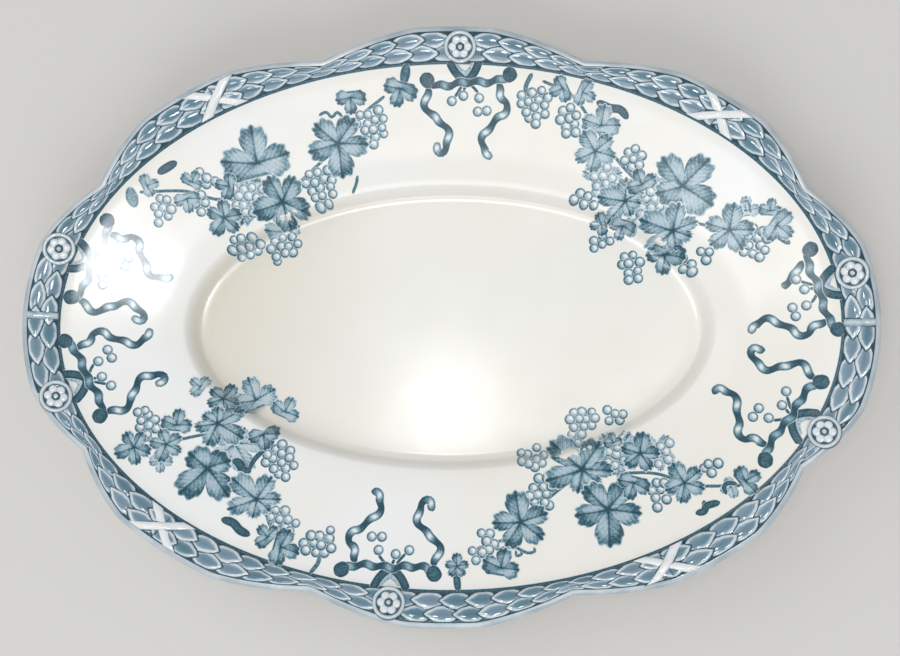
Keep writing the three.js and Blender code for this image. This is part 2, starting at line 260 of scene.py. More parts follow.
# %% [markdown]
# ## The glaze
# Lead-glazed cream earthenware is dipped and fired, so its gloss is high and its surface has a slow wave.
# The cream is a little warmer in some places and cooler in others, with a few iron specks. All finishes
# but the foot's are this glaze over something: bare body, printed ink, or relief, where it pools blue-
# grey in the hollows. So one function starts each of them.

# %% Glaze shared by all finishes
GLAZE_IOR = 1.52
GLOSS, RELIEF_GLOSS = (0.15, 0.2), (0.07, 0.11)
CREAM_COOL, CREAM_WARM = "#edeeed", "#ebe9e1"
CLOUD_SIZE, CLOUD_RANGE = 55, (0.38, 0.66)
WAVE_SIZE, WAVE_RANGE, WAVE_HEIGHT = 9, (0.3, 0.7), 0.035


def glazed(name, gloss=GLOSS):
    """A new glaze. Returns the material, its tree, its shader, its cream colour and its coordinates."""
    material = bpy.data.materials.new(name)
    material.use_nodes = True
    tree = material.node_tree
    shader = tree.nodes["Principled BSDF"]
    shader.inputs["IOR"].default_value = GLAZE_IOR
    place = add(tree, "ShaderNodeTexCoord").outputs["Object"]
    cloud = add(
        tree, "ShaderNodeTexNoise", {"Vector": place, "Scale": 1 / (CLOUD_SIZE * MM), "Detail": 3.0}
    )
    warm = add(tree, "ShaderNodeMapRange", [cloud, *CLOUD_RANGE])
    creams = {0: warm, 6: linear(CREAM_COOL), 7: linear(CREAM_WARM)}
    cream = add(tree, "ShaderNodeMix", creams, data_type="RGBA").outputs[2]
    wave = add(tree, "ShaderNodeTexNoise", {"Vector": place, "Scale": 1 / (WAVE_SIZE * MM), "Detail": 1.5})
    bump = add(tree, "ShaderNodeBump", {"Distance": WAVE_HEIGHT * MM, "Height": wave})
    tree.links.new(bump.outputs[0], shader.inputs["Normal"])
    rough = add(tree, "ShaderNodeMapRange", [wave, *WAVE_RANGE, *gloss])
    tree.links.new(rough.outputs[0], shader.inputs["Roughness"])
    return material, tree, shader, cream, place


# %% Cream glaze of the plate: a warm well, aged at one end, a pool at the border, painted shade on the lip and specks
# The well's warm tint fades from the foot up the step. On the floor it is warm glaze, and on the step it is
# also painted shade.
WELL_COLOUR, WELL_RANGE, WELL_TINT = "#e8e6dc", (-4.2, -0.5), 0.55
AGED_COLOUR, AGED_RANGE = "#cbc3b0", (-66, -16)
POOL_COLOUR, POOL_RANGE = "#d3dbde", (BORDER_INNER - 1.5, BORDER_INNER + 2)
# The lip's blue-grey is painted shade and painted dark reflection on the rounded edge, laid on in patches.
LIP_SHADE_COLOUR, LIP_SHARES = "#9dacb6", (0.93, 0.965)
LIP_CLOUD, LIP_CLOUD_RANGE, LIP_SHADE_STRENGTH = 7, (0.35, 0.65), (0.95, 0.4)
UPPER_RANGE = (20.6, 21.4)
SPECK_COLOUR, SPECK_CELL, SPECK_RADIUS, SPECK_RARITY = "#a58f70", 11, 0.28, 0.9

cream_glaze, tree, shader, colour, place = glazed("cream_lead_glaze")
reach_mm = add(tree, "ShaderNodeAttribute", attribute_name="reach_mm").outputs["Fac"]
to_edge = add(tree, "ShaderNodeAttribute", attribute_name="flange_share").outputs["Fac"]
axes = add(tree, "ShaderNodeSeparateXYZ", [place])
upper = add(tree, "ShaderNodeMapRange", [axes.outputs["Z"], *(z * MM for z in UPPER_RANGE)])
# The aged stain uses the same mask, so on the left step it is also painted shade that darkens the step.
well_tint_and_step_shade = add(tree, "ShaderNodeMapRange", [reach_mm, *WELL_RANGE, WELL_TINT, 0.0])
aged = add(tree, "ShaderNodeMapRange", [axes.outputs["X"], *(x * MM for x in AGED_RANGE), 1.0, 0.0])
aged_stain_and_step_shade = add(tree, "ShaderNodeMath", [aged, well_tint_and_step_shade], operation="MULTIPLY")
rise = add(tree, "ShaderNodeMapRange", [reach_mm, *POOL_RANGE], interpolation_type="SMOOTHSTEP")
pool = add(tree, "ShaderNodeMath", [rise, upper], operation="MULTIPLY")
# Painted shade and reflection on the lip: blue-grey in noisy patches near the edge, on the top side only.
at_lip = add(tree, "ShaderNodeMapRange", [to_edge, *LIP_SHARES])
patches = add(tree, "ShaderNodeTexNoise", {"Vector": place, "Scale": 1 / (LIP_CLOUD * MM), "Detail": 2.0})
lip_shade_patches = add(tree, "ShaderNodeMapRange", [patches, *LIP_CLOUD_RANGE, *LIP_SHADE_STRENGTH])
lip_shade_near_edge = add(tree, "ShaderNodeMath", [at_lip, lip_shade_patches], operation="MULTIPLY")
painted_lip_shade = add(tree, "ShaderNodeMath", [lip_shade_near_edge, upper], operation="MULTIPLY")
cells = add(tree, "ShaderNodeTexVoronoi", {"Vector": place, "Scale": 1 / (SPECK_CELL * MM)})
near = add(tree, "ShaderNodeMath", [cells, SPECK_RADIUS / SPECK_CELL], operation="LESS_THAN")
drawn_lot = add(tree, "ShaderNodeSeparateColor", [cells.outputs["Color"]])
few = add(tree, "ShaderNodeMath", [drawn_lot, SPECK_RARITY], operation="GREATER_THAN")
speck = add(tree, "ShaderNodeMath", [near, few], operation="MULTIPLY")
coats = {
    WELL_COLOUR: well_tint_and_step_shade,
    AGED_COLOUR: aged_stain_and_step_shade,
    POOL_COLOUR: pool,
    LIP_SHADE_COLOUR: painted_lip_shade,
    SPECK_COLOUR: speck,
}
for coat, cover in coats.items():
    coated = add(tree, "ShaderNodeMix", {0: cover, 6: colour, 7: linear(coat)}, data_type="RGBA")
    colour = coated.outputs[2]
tree.links.new(colour, shader.inputs["Base Color"])
print("made", cream_glaze.name, "with", len(coats), "coats")

# %% [markdown]
# ## Glazes over the relief
# The laurel was printed in slate and then glazed. The glaze runs thin over a leaf's edge, which stays
# pale, and thick into the hollows, which go dark teal. Each leaf carries "rim", 0 on its midrib and 1 at
# its outline, and one ramp on it gives that break of colour. "tone" makes one leaf a little bluer or
# paler than the next. Ribbons and rosettes carry "rim" too, with a paler ramp.

# %% Rim of a leaf, ribbon or rosette
MOTTLE_SIZE = 1.6


def mottled_rim(tree, place, spread):
    """The "rim" of a piece, moved up and down over a spread by the mottle of the glaze."""
    rim = add(tree, "ShaderNodeAttribute", attribute_name="rim").outputs["Fac"]
    grain = {"Vector": place, "Scale": 1 / (MOTTLE_SIZE * MM), "Detail": 2.0}
    mottle = add(tree, "ShaderNodeTexNoise", grain)
    shift = add(tree, "ShaderNodeMath", [mottle, spread, -spread / 2], operation="MULTIPLY_ADD")
    return add(tree, "ShaderNodeMath", [rim, shift], operation="ADD")


# %% Laurel glaze
LAUREL_MOTTLE = 0.26
LAUREL_STOPS = (0.0, 0.42, 0.55, 0.63, 0.78, 0.88)
LAUREL_BLUES = ("#507484", "#5f8291", "#90a8b4", "#c6d2d8", "#b9c7ce", "#294e5c")
LAUREL_GREYS = ("#71899a", "#8097a7", "#aabcc7", "#d6dde1", "#c7d2d8", "#305462")

laurel_glaze, tree, shader, _, place = glazed("printed_laurel_glaze", RELIEF_GLOSS)
rim = mottled_rim(tree, place, LAUREL_MOTTLE)
blue = add(tree, "ShaderNodeValToRGB", [rim], zip(LAUREL_STOPS, LAUREL_BLUES))
grey = add(tree, "ShaderNodeValToRGB", [rim], zip(LAUREL_STOPS, LAUREL_GREYS))
tone = add(tree, "ShaderNodeAttribute", attribute_name="tone").outputs["Fac"]
leaf_colour = add(tree, "ShaderNodeMix", {0: tone, 6: blue, 7: grey}, data_type="RGBA")
tree.links.new(leaf_colour.outputs[2], shader.inputs["Base Color"])
print("made", laurel_glaze.name)

# %% Pale glaze of ribbons and rosettes
PALE_MOTTLE = 0.3
PALE_WASH = ((0.0, "#e9e9e9"), (0.3, "#d9dfe2"), (0.62, "#bdcad0"), (0.84, "#7b939e"), (1.0, "#365663"))

pale_glaze, tree, shader, _, place = glazed("pale_relief_glaze", RELIEF_GLOSS)
wash = add(tree, "ShaderNodeValToRGB", [mottled_rim(tree, place, PALE_MOTTLE)], PALE_WASH)
tree.links.new(wash.outputs[0], shader.inputs["Base Color"])
print("made", pale_glaze.name)

# %% [markdown]
# ## Ink under the glaze
# The print is a transfer: ink from an engraved plate, laid on the biscuit and glazed over. Its edges
# bleed a little, and its tones come from fine lines and dots, drawn here coarser than real ones so that
# they show. Each drawing carries "ink", which falls to 0 in a narrow margin so that the edge bleeds into
# the cream, and "along" and "across" for the veins of a leaf, whose widths are shares of the leaf's size.

# %% Printed glaze
VEIN_WIDTH, VEIN_SOFTNESS, VEIN_DEPTH = 0.022, (0.4, 1.3), 0.55
BRANCH_PITCH, BRANCH_SLANT, BRANCH_RANGE, BRANCH_DEPTH = 0.085, -0.9, (0.45, 1.0), 0.3
STIPPLE_SIZE, STIPPLE_RANGE, STIPPLE_DEPTH = 0.55, (0.3, 0.7), 0.2
TONE_DEPTH, LEAST_DEPTH, BLEED_RANGE = 0.55, 0.33, (0.02, 0.3)
INKS = ((0.0, "#d2dbde"), (0.25, "#a9bec8"), (0.45, "#7899a7"), (0.7, "#436b7a"), (1.0, "#1f4755"))

print_glaze, tree, shader, cream, place = glazed("slate_transfer_print")
ink, tone, along, across = (
    add(tree, "ShaderNodeAttribute", attribute_name=field).outputs["Fac"]
    for field in ("ink", "tone", "along", "across")
)
vein = add(tree, "ShaderNodeMapRange", [across, *(VEIN_WIDTH * s for s in VEIN_SOFTNESS), 1.0, 0.0])
slant = add(tree, "ShaderNodeMath", [across, BRANCH_SLANT, along], operation="MULTIPLY_ADD")
phase = add(tree, "ShaderNodeMath", [slant, math.tau / BRANCH_PITCH], operation="MULTIPLY")
branch = add(tree, "ShaderNodeMath", [phase], operation="SINE")
branched = add(tree, "ShaderNodeMapRange", [branch, *BRANCH_RANGE, 0.0, BRANCH_DEPTH])
dots = add(tree, "ShaderNodeTexNoise", {"Vector": place, "Scale": 1 / (STIPPLE_SIZE * MM), "Detail": 1.0})
stipple = add(tree, "ShaderNodeMapRange", [dots, *STIPPLE_RANGE, -STIPPLE_DEPTH, STIPPLE_DEPTH])
lines = add(tree, "ShaderNodeMath", [vein, VEIN_DEPTH, branched], operation="MULTIPLY_ADD")
toned = add(tree, "ShaderNodeMath", [tone, TONE_DEPTH, lines], operation="MULTIPLY_ADD")
dotted = add(tree, "ShaderNodeMath", [toned, stipple], operation="ADD")
deep = add(tree, "ShaderNodeMath", [dotted, LEAST_DEPTH], operation="ADD")
dark = add(tree, "ShaderNodeMath", [deep, ink], operation="MULTIPLY")
inked = add(tree, "ShaderNodeValToRGB", [dark], INKS)
bleed = add(tree, "ShaderNodeMapRange", [ink, *BLEED_RANGE], interpolation_type="SMOOTHSTEP")
printed = add(tree, "ShaderNodeMix", {0: bleed, 6: cream, 7: inked}, data_type="RGBA")
tree.links.new(printed.outputs[2], shader.inputs["Base Color"])
print("made", print_glaze.name)

# %% Wiped foot
GRIT_SIZE, GRIT_SHARE, GRIT_HEIGHT, GRIT_STRENGTH = 0.8, 0.5, 0.08, 0.5
WORN_RANGE, WORN_GLOSS = (0.2, 1.1), (0.75, 0.18)
CLAYS = ((0.0, "#b49f80"), (0.35, "#cbbb9f"), (0.8, "#e2dccf"), (1.0, "#e9e6df"))

wiped_foot = bpy.data.materials.new("wiped_biscuit_foot")
wiped_foot.use_nodes = True
tree = wiped_foot.node_tree
shader = tree.nodes["Principled BSDF"]
place = add(tree, "ShaderNodeTexCoord").outputs["Object"]
grit = add(tree, "ShaderNodeTexNoise", {"Vector": place, "Scale": 1 / (GRIT_SIZE * MM), "Detail": 4.0})
height = add(tree, "ShaderNodeSeparateXYZ", [place]).outputs["Z"]
worn = add(tree, "ShaderNodeMapRange", [height, *(z * MM for z in WORN_RANGE)])
gritty = add(tree, "ShaderNodeMath", [grit, GRIT_SHARE, worn], operation="MULTIPLY_ADD")
clay = add(tree, "ShaderNodeValToRGB", [gritty], CLAYS)
rough = add(tree, "ShaderNodeMapRange", {0: worn, 3: WORN_GLOSS[0], 4: WORN_GLOSS[1]})
bump = add(
    tree, "ShaderNodeBump", {"Distance": GRIT_HEIGHT * MM, "Strength": GRIT_STRENGTH, "Height": grit}
)
tree.links.new(clay.outputs[0], shader.inputs["Base Color"])
tree.links.new(rough.outputs[0], shader.inputs["Roughness"])
tree.links.new(bump.outputs[0], shader.inputs["Normal"])
print("made", wiped_foot.name)

# %% [markdown]
# ## Making pieces
# Geometry Nodes make what repeats or follows a rule. A small helper runs a tree on a base mesh and keeps
# the result as a plain mesh, since a finished piece holds no live tree. Each piece then rides on the one
# body and stands for its CAD node, if it has one.


# %% Meshes and objects
def mesh_from(name, points, faces, **fields):
    """A smooth mesh from points in mm, with one attribute for each field."""
    mesh = bpy.data.meshes.new(name)
    mesh.from_pydata([tuple(c * MM for c in p) for p in points], [], faces)
    for field, values in fields.items():
        values = np.asarray(values, dtype=np.float32)
        is_vector = values.ndim == 2
        layer = mesh.attributes.new(field, "FLOAT_VECTOR" if is_vector else "FLOAT", "POINT")
        layer.data.foreach_set("vector" if is_vector else "value", values.ravel())
    mesh.shade_smooth()
    return mesh


def placed(name, data):
    """An object at the origin with the given data."""
    made = bpy.data.objects.new(name, data)
    scene.collection.objects.link(made)
    return made


# %% Trees
def new_tree(name, **sockets):
    """A geometry tree with inputs given as name=kind. Returns it and its input sockets by name."""
    tree = bpy.data.node_groups.new(name, "GeometryNodeTree")
    tree.interface.new_socket("Geometry", in_out="INPUT", socket_type="NodeSocketGeometry")
    for label, kind in sockets.items():
        tree.interface.new_socket(label.replace("_", " "), in_out="INPUT", socket_type="NodeSocket" + kind)
    tree.interface.new_socket("Geometry", in_out="OUTPUT", socket_type="NodeSocketGeometry")
    outputs = tree.nodes.new("NodeGroupInput").outputs
    return tree, {socket.name.replace(" ", "_"): socket for socket in outputs if socket.name}


def close_tree(tree, geometry, material):
    """Ends a tree in Realize Instances and Set Material."""
    smooth = add(tree, "GeometryNodeSetShadeSmooth", [geometry])
    real = add(tree, "GeometryNodeRealizeInstances", [smooth])
    dressed = add(tree, "GeometryNodeSetMaterial", {0: real, "Material": material})
    add(tree, "NodeGroupOutput", [dressed])


# %% Finished pieces
def plain_mesh(holder, name):
    """The evaluated mesh of an object as plain data; the object is removed."""
    graph = bpy.context.evaluated_depsgraph_get()
    made = holder.evaluated_get(graph)
    mesh = bpy.data.meshes.new_from_object(made, preserve_all_data_layers=True, depsgraph=graph)
    mesh.name = name
    bpy.data.objects.remove(holder)
    return mesh


def grown(name, tree, base, **values):
    """Runs a tree on a base mesh with the given inputs and returns a plain mesh."""
    holder = placed(name + "_base", base)
    modifier = holder.modifiers.new(tree.name, "NODES")
    modifier.node_group = tree
    for socket in tree.interface.items_tree:
        key = socket.name.replace(" ", "_")
        if socket.in_out == "INPUT" and key in values:
            modifier[socket.identifier] = values[key]
    return plain_mesh(holder, name)


def finish_piece(name, mesh, slot, *nodes):
    """A finished piece that rides on the plate and may stand for CAD nodes."""
    made = placed(name, mesh)
    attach(made, "root")
    if nodes:
        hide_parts(*nodes)
    mesh.calc_loop_triangles()
    print(name, "has", len(mesh.loop_triangles), "triangles")


# %% [markdown]
# ## The plate
# A potter shapes this over a mould with a profile, so the tree works the same way. The profile is a line
# of points that hold the half length, half width and height of each oval row, from the middle of the well
# over the flange and its rounded edge to the middle of the base. The tree spins it, then pulls the
# flange's border in at the eight marks of the cusps and lets it drop along its own slope.

# %% Profile of the plate
WALL, WALL_SPREAD, BASE_Z = 4.5, 2.5, 2.5
EDGE_RADIUS = 2.2
FLOOR_SHARES = (0, 0.2, 0.4, 0.6, 0.75, 0.85, 0.92, 0.94, 0.95, 0.96, 0.97, 0.98, 0.99)
BASE_SHARES = (0.8, 0.5, 0)
STEP_ROWS, PLAIN_ROWS, COVE_ROWS, BORDER_ROWS = 20, 20, 10, 7
EDGE_ROWS, UNDER_ROWS, UNDER_STEP_ROWS = 13, 12, 12

rows = [(FLOOR_A * share, FLOOR_B * share, float(floor_height(share))) for share in FLOOR_SHARES]
for w, h in step_curve(STEP_ROWS, GATHERED_STEP):
    rows.append((FLOOR_A + (VERGE_A - FLOOR_A) * w, FLOOR_B + (VERGE_B - FLOOR_B) * w, step_height(h)))
on_plain = np.linspace(0, BORDER_INNER - COVE_WIDTH, PLAIN_ROWS)[1:]
on_cove = np.linspace(BORDER_INNER - COVE_WIDTH, BORDER_INNER, COVE_ROWS)[1:]
on_border = np.linspace(BORDER_INNER, FLANGE_WIDTH - EDGE_RADIUS, BORDER_ROWS)[1:]
for reach in (*on_plain, *on_cove, *on_border):
    rows.append((VERGE_A + reach, VERGE_B + reach, float(flange_height(reach))))
for turn in np.radians(np.linspace(90, -90, EDGE_ROWS))[1:]:
    reach = FLANGE_WIDTH - EDGE_RADIUS + EDGE_RADIUS * math.cos(turn)
    z = float(flange_height(reach)) + WALL / 2 * (math.sin(turn) - 1)
    rows.append((VERGE_A + reach, VERGE_B + reach, z))
for reach in np.linspace(FLANGE_WIDTH - EDGE_RADIUS, WALL_SPREAD, UNDER_ROWS)[1:]:
    rows.append((VERGE_A + reach, VERGE_B + reach, float(flange_height(reach)) - WALL))
under_rise = rows[-1][2] - BASE_Z
base_a, base_b = FLOOR_A + WALL_SPREAD, FLOOR_B + WALL_SPREAD
for w, h in step_curve(UNDER_STEP_ROWS, STEP_SHAPE)[-2::-1]:
    a, b = base_a + (VERGE_A - FLOOR_A) * w, base_b + (VERGE_B - FLOOR_B) * w
    rows.append((a, b, BASE_Z + under_rise * h))
rows += [(base_a * share, base_b * share, BASE_Z) for share in BASE_SHARES]
profile = placed("plate_profile", mesh_from("plate_profile", rows, []))
unit_ring = [(math.cos(math.radians(c)) / MM, math.sin(math.radians(c)) / MM, 0) for c in CUSPS]
cusp_marks = placed("cusp_marks", mesh_from("cusp_marks", unit_ring, []))
print("profile has", len(rows), "points")

# %% Tree that spins the profile
SEW_DISTANCE = 0.005

tree, given = new_tree(
    "Scalloped plate",
    Profile="Object",
    Cusp_marks="Object",
    Sectors="Int",
    Rows="Int",
    Verge="Float",
    Flange_width="Float",
    Border_inner="Float",
    Flange_rise="Float",
    Flange_curve="Float",
    Scallop_depth="Float",
    Flank_angle="Float",
    Flank_curve="Float",
    Glaze="Material",
)
columns = add(tree, "ShaderNodeMath", [given["Sectors"], 1.0], operation="ADD")
grid = add(tree, "GeometryNodeMeshGrid", [1.0, 1.0, columns, given["Rows"]])
cell = add(tree, "ShaderNodeSeparateXYZ", [add(tree, "GeometryNodeInputPosition")])
angle = add(tree, "ShaderNodeMath", [cell.outputs[0], math.tau, math.pi], operation="MULTIPLY_ADD")
last = add(tree, "ShaderNodeMath", [given["Rows"], 1.0], operation="SUBTRACT")
share = add(tree, "ShaderNodeMath", [cell.outputs[1], 0.5], operation="ADD")
level = add(tree, "ShaderNodeMath", [share, last], operation="MULTIPLY")
row = add(tree, "ShaderNodeMath", [level], operation="ROUND")
template = add(tree, "GeometryNodeObjectInfo", [given["Profile"]])
held = add(tree, "GeometryNodeInputPosition")
sizes = add(
    tree, "GeometryNodeSampleIndex", [template.outputs["Geometry"], held, row], data_type="FLOAT_VECTOR"
)
half = add(tree, "ShaderNodeSeparateXYZ", [sizes])
cosine = add(tree, "ShaderNodeMath", [angle], operation="COSINE")
sine = add(tree, "ShaderNodeMath", [angle], operation="SINE")
heading = add(tree, "ShaderNodeCombineXYZ", [cosine, sine])
marks = add(tree, "GeometryNodeObjectInfo", [given["Cusp_marks"]])
chord = add(
    tree, "GeometryNodeProximity", {0: marks.outputs["Geometry"], 2: heading}, target_element="POINTS"
)
arc = add(tree, "ShaderNodeMath", [chord.outputs["Distance"], 0.5], operation="MULTIPLY")
apart = add(tree, "ShaderNodeMath", [arc], operation="ARCSINE")
gap = add(tree, "ShaderNodeMath", [apart, 2.0], operation="MULTIPLY")
flank = add(tree, "ShaderNodeMapRange", [gap, 0.0, given["Flank_angle"], 1.0, 0.0])
bent = add(tree, "ShaderNodeMath", [flank, given["Flank_curve"]], operation="POWER")
pull = add(tree, "ShaderNodeMath", [bent, given["Scallop_depth"]], operation="MULTIPLY")
past_verge = add(tree, "ShaderNodeMath", [half.outputs[0], given["Verge"]], operation="SUBTRACT")
outside = add(tree, "ShaderNodeMath", [past_verge, 0.0], operation="MAXIMUM")
before = add(tree, "ShaderNodeMath", [outside, given["Flange_width"]], operation="DIVIDE")
zone = add(tree, "ShaderNodeMapRange", [outside, given["Border_inner"], given["Flange_width"]])
inward = add(tree, "ShaderNodeMath", [pull, zone], operation="MULTIPLY")
kept = add(tree, "ShaderNodeMath", [outside, inward], operation="SUBTRACT")
after = add(tree, "ShaderNodeMath", [kept, given["Flange_width"]], operation="DIVIDE")
high = add(tree, "ShaderNodeMath", [before, given["Flange_curve"]], operation="POWER")
low = add(tree, "ShaderNodeMath", [after, given["Flange_curve"]], operation="POWER")
fall = add(tree, "ShaderNodeMath", [high, low], operation="SUBTRACT")
drop = add(tree, "ShaderNodeMath", [fall, given["Flange_rise"]], operation="MULTIPLY")
long = add(tree, "ShaderNodeMath", [half.outputs[0], inward], operation="SUBTRACT")
wide = add(tree, "ShaderNodeMath", [half.outputs[1], inward], operation="SUBTRACT")
x = add(tree, "ShaderNodeMath", [long, cosine], operation="MULTIPLY")
y = add(tree, "ShaderNodeMath", [wide, sine], operation="MULTIPLY")
z = add(tree, "ShaderNodeMath", [half.outputs[2], drop], operation="SUBTRACT")
where = add(tree, "ShaderNodeCombineXYZ", [x, y, z])
net = add(tree, "ShaderNodeMath", [past_verge, inward], operation="SUBTRACT")
in_mm = add(tree, "ShaderNodeMath", [net, 1 / MM], operation="MULTIPLY")
noted = add(tree, "GeometryNodeStoreNamedAttribute", {0: grid, "Name": "reach_mm", "Value": in_mm})
shared = add(tree, "GeometryNodeStoreNamedAttribute", {0: noted, "Name": "flange_share", "Value": before})
spun = add(tree, "GeometryNodeSetPosition", {0: shared, "Position": where})
sewn = add(tree, "GeometryNodeMergeByDistance", {0: spun, "Distance": SEW_DISTANCE * MM})
facing_out = add(tree, "GeometryNodeFlipFaces", [sewn])
close_tree(tree, facing_out, given["Glaze"])
print(tree.name, "has", len(tree.nodes), "nodes")

# %% Spin the plate
PLATE_SECTORS = 720

plate_mesh = grown(
    "glazed_plate",
    tree,
    bpy.data.meshes.new("empty"),
    Profile=profile,
    Cusp_marks=cusp_marks,
    Sectors=PLATE_SECTORS,
    Rows=len(rows),
    Verge=VERGE_A * MM,
    Flange_width=FLANGE_WIDTH * MM,
    Border_inner=BORDER_INNER * MM,
    Flange_rise=FLANGE_RISE * MM,
    Flange_curve=FLANGE_CURVE,
    Scallop_depth=SCALLOP_DEPTH * MM,
    Flank_angle=math.radians(FLANK_ANGLE),
    Flank_curve=FLANK_CURVE,
    Glaze=cream_glaze,
)
for guide in (profile, cusp_marks):
    bpy.data.objects.remove(guide)
finish_piece("glazed_plate", plate_mesh, "cream_glaze", "plate_body")

# %% [markdown]
# ## The foot
# The foot is a strip of clay luted under the base along an oval and rubbed flat, so a profile swept along
# a path is the natural way. Its lower corners are worn round, and the glaze has been wiped from its face.

# %% Tree that sweeps the foot
FOOT_POINTS = 240

tree, given = new_tree(
    "Swept foot",
    Half_length="Float",
    Half_width="Float",
    Section="Object",
    Clay="Material",
)
circle = add(tree, "GeometryNodeCurvePrimitiveCircle", {0: FOOT_POINTS, "Radius": 1.0})
stretch = add(tree, "ShaderNodeCombineXYZ", [given["Half_length"], given["Half_width"], 1.0])
oval = add(tree, "GeometryNodeTransform", {0: circle, "Scale": stretch})
strip = add(tree, "GeometryNodeObjectInfo", [given["Section"]])
strip_curve = add(tree, "GeometryNodeMeshToCurve", [strip.outputs["Geometry"]])
swept = add(tree, "GeometryNodeCurveToMesh", [oval, strip_curve])
facing_out = add(tree, "GeometryNodeFlipFaces", [swept])
close_tree(tree, facing_out, given["Clay"])
print(tree.name, "has", len(tree.nodes), "nodes")

# %% Foot ring
FOOT_WIDTH, FOOT_HEIGHT, FOOT_BED = 5.0, 2.5, 0.4
FOOT_SECTION = ((-2.3, 0.35), (-1.9, 0.06), (-1.2, 0), (1.2, 0), (1.9, 0.06), (2.3, 0.35), (2.45, 1.2))

_, foot_corner = (np.array(corner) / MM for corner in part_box("foot_ring"))
flank_x, flank_z = FOOT_SECTION[-1]
top_z = FOOT_HEIGHT + FOOT_BED
outline = [*FOOT_SECTION, (FOOT_WIDTH / 2, top_z), (-FOOT_WIDTH / 2, top_z), (-flank_x, flank_z)]
loop = [(i, (i + 1) % len(outline)) for i in range(len(outline))]
section_mesh = bpy.data.meshes.new("foot_section")
section_mesh.from_pydata([(x * MM, -z * MM, 0) for x, z in outline], loop, [])
section = placed("foot_section", section_mesh)
foot_mesh = grown(
    "worn_foot",
    tree,
    bpy.data.meshes.new("empty"),
    Half_length=(foot_corner[0] - FOOT_WIDTH / 2) * MM,
    Half_width=(foot_corner[1] - FOOT_WIDTH / 2) * MM,
    Section=section,
    Clay=wiped_foot,
)
bpy.data.objects.remove(section)
heights = [v.co.z / MM for v in foot_mesh.vertices]
print("foot from", round(min(heights), 2), "to", round(max(heights), 2), "mm")
finish_piece("worn_foot", foot_mesh, "wiped_foot", "foot_ring")

# %% [markdown]
# ## The laurel border
# Lengths of laurel start at a tie and point at a rosette, in two staggered rows of broad, overlapping
# leaves. Each length is a slab bent to the border, with a map of its own length and width. The tree lays
# the leaves out flat on that map and then bends every point onto the slab, so the leaves follow the lobes
# and squeeze at cusps. What runs past the slab's ends is pressed flat there, under a rosette or a band,
# or where two lengths meet at a tie.

# %% Where ties and rosettes stand
TIES = {
    "end_band_right": 0,
    "ribbon_tie_upper_right": 48,
    "ribbon_tie_upper_left": 125,
    "end_band_left": 178,
    "ribbon_tie_lower_left": 226,
    "ribbon_tie_lower_right": 302,
}
ROSETTES = {
    "rosette_right_upper": 10,
    "rosette_top": 88,
    "rosette_left_upper": 164,
    "rosette_left_lower": 195,
    "rosette_bottom": 262,
    "rosette_right_lower": 337,
}
print(len(TIES), "ties and bands,", len(ROSETTES), "rosettes")

# %% Slab under a length of laurel
BACKING, SLAB_DEPTH, SLAB_STEP, SLAB_ACROSS, PILLOW_MARGIN = 0.4, 0.6, 1.2, 8, 0.02


def border_slab(name, start, end):
    """A closed slab on the border from one angle to another, mapped by its length and width."""
    count = max(4, round(abs(end - start) / degrees_for(SLAB_STEP, (start + end) / 2)))
    forward = end > start
    top, facings, faces = [], [], []
    for angle in np.linspace(start, end, count + 1):
        outer = border_outer(angle)
        for v in np.linspace(0, 1, SLAB_ACROSS + 1):
            reach = BORDER_INNER + v * (outer - BORDER_INNER)
            inner = min(max(v, PILLOW_MARGIN), 1 - PILLOW_MARGIN)
            pillow = BACKING * math.sqrt(math.sin(math.pi * inner))
            top.append(on_flange(angle, reach, pillow))
            facings.append(flange_normal(angle, reach))
    across = SLAB_ACROSS + 1
    size = len(top)
    base = [p - Vector((0, 0, SLAB_DEPTH)) for p in top]
    for i in range(count):
        for j in range(SLAB_ACROSS):
            a = i * across + j
            quad = (a, a + 1, a + across + 1, a + across)
            faces.append(quad if forward else quad[::-1])
            faces.append(tuple(k + size for k in faces[-1][::-1]))
    around = list(range(across))
    around += [i * across + across - 1 for i in range(1, count + 1)]
    around += [count * across + j for j in range(across - 2, -1, -1)]
    around += [i * across for i in range(count - 1, 0, -1)]
    for a, b in zip(around, around[1:] + around[:1]):
        side = (b, a, a + size, b + size)
        faces.append(side if forward else side[::-1])
    mesh = mesh_from(name, top + base, faces, facing=facings * 2)
    mapped = mesh.uv_layers.new(name="UVMap")
    off_map = (-1.0, -1.0)
    for face in mesh.polygons:
        is_top = all(k < size for k in face.vertices)
        for loop, k in zip(face.loop_indices, face.vertices):
            mapped.data[loop].uv = (k // across / count, k % across / SLAB_ACROSS) if is_top else off_map
    return mesh


# %% One laurel leaf
LEAF_STEPS = 12
LEAF_SHARES = (-1, -0.92, -0.75, -0.5, -0.25, 0, 0.25, 0.5, 0.75, 0.92, 1)
LEAF_DOME, LEAF_TILT, LEAF_KEEL = 0.55, 0.75, -0.6
LEAF_BLUNT, LEAF_SWELL, LEAF_FULL, LEAF_ROUND = 0.03, 0.85, 0.75, 0.8


def joined_rows(count, width, start=0, closed=True):
    """Faces between rows of points that follow one another, each row closed to a ring or left open."""
    faces = []
    for i in range(count - 1):
        for k in range(width if closed else width - 1):
            a, b = start + i * width + k, start + i * width + (k + 1) % width
            faces.append((a, a + width, b + width, b))
    return faces


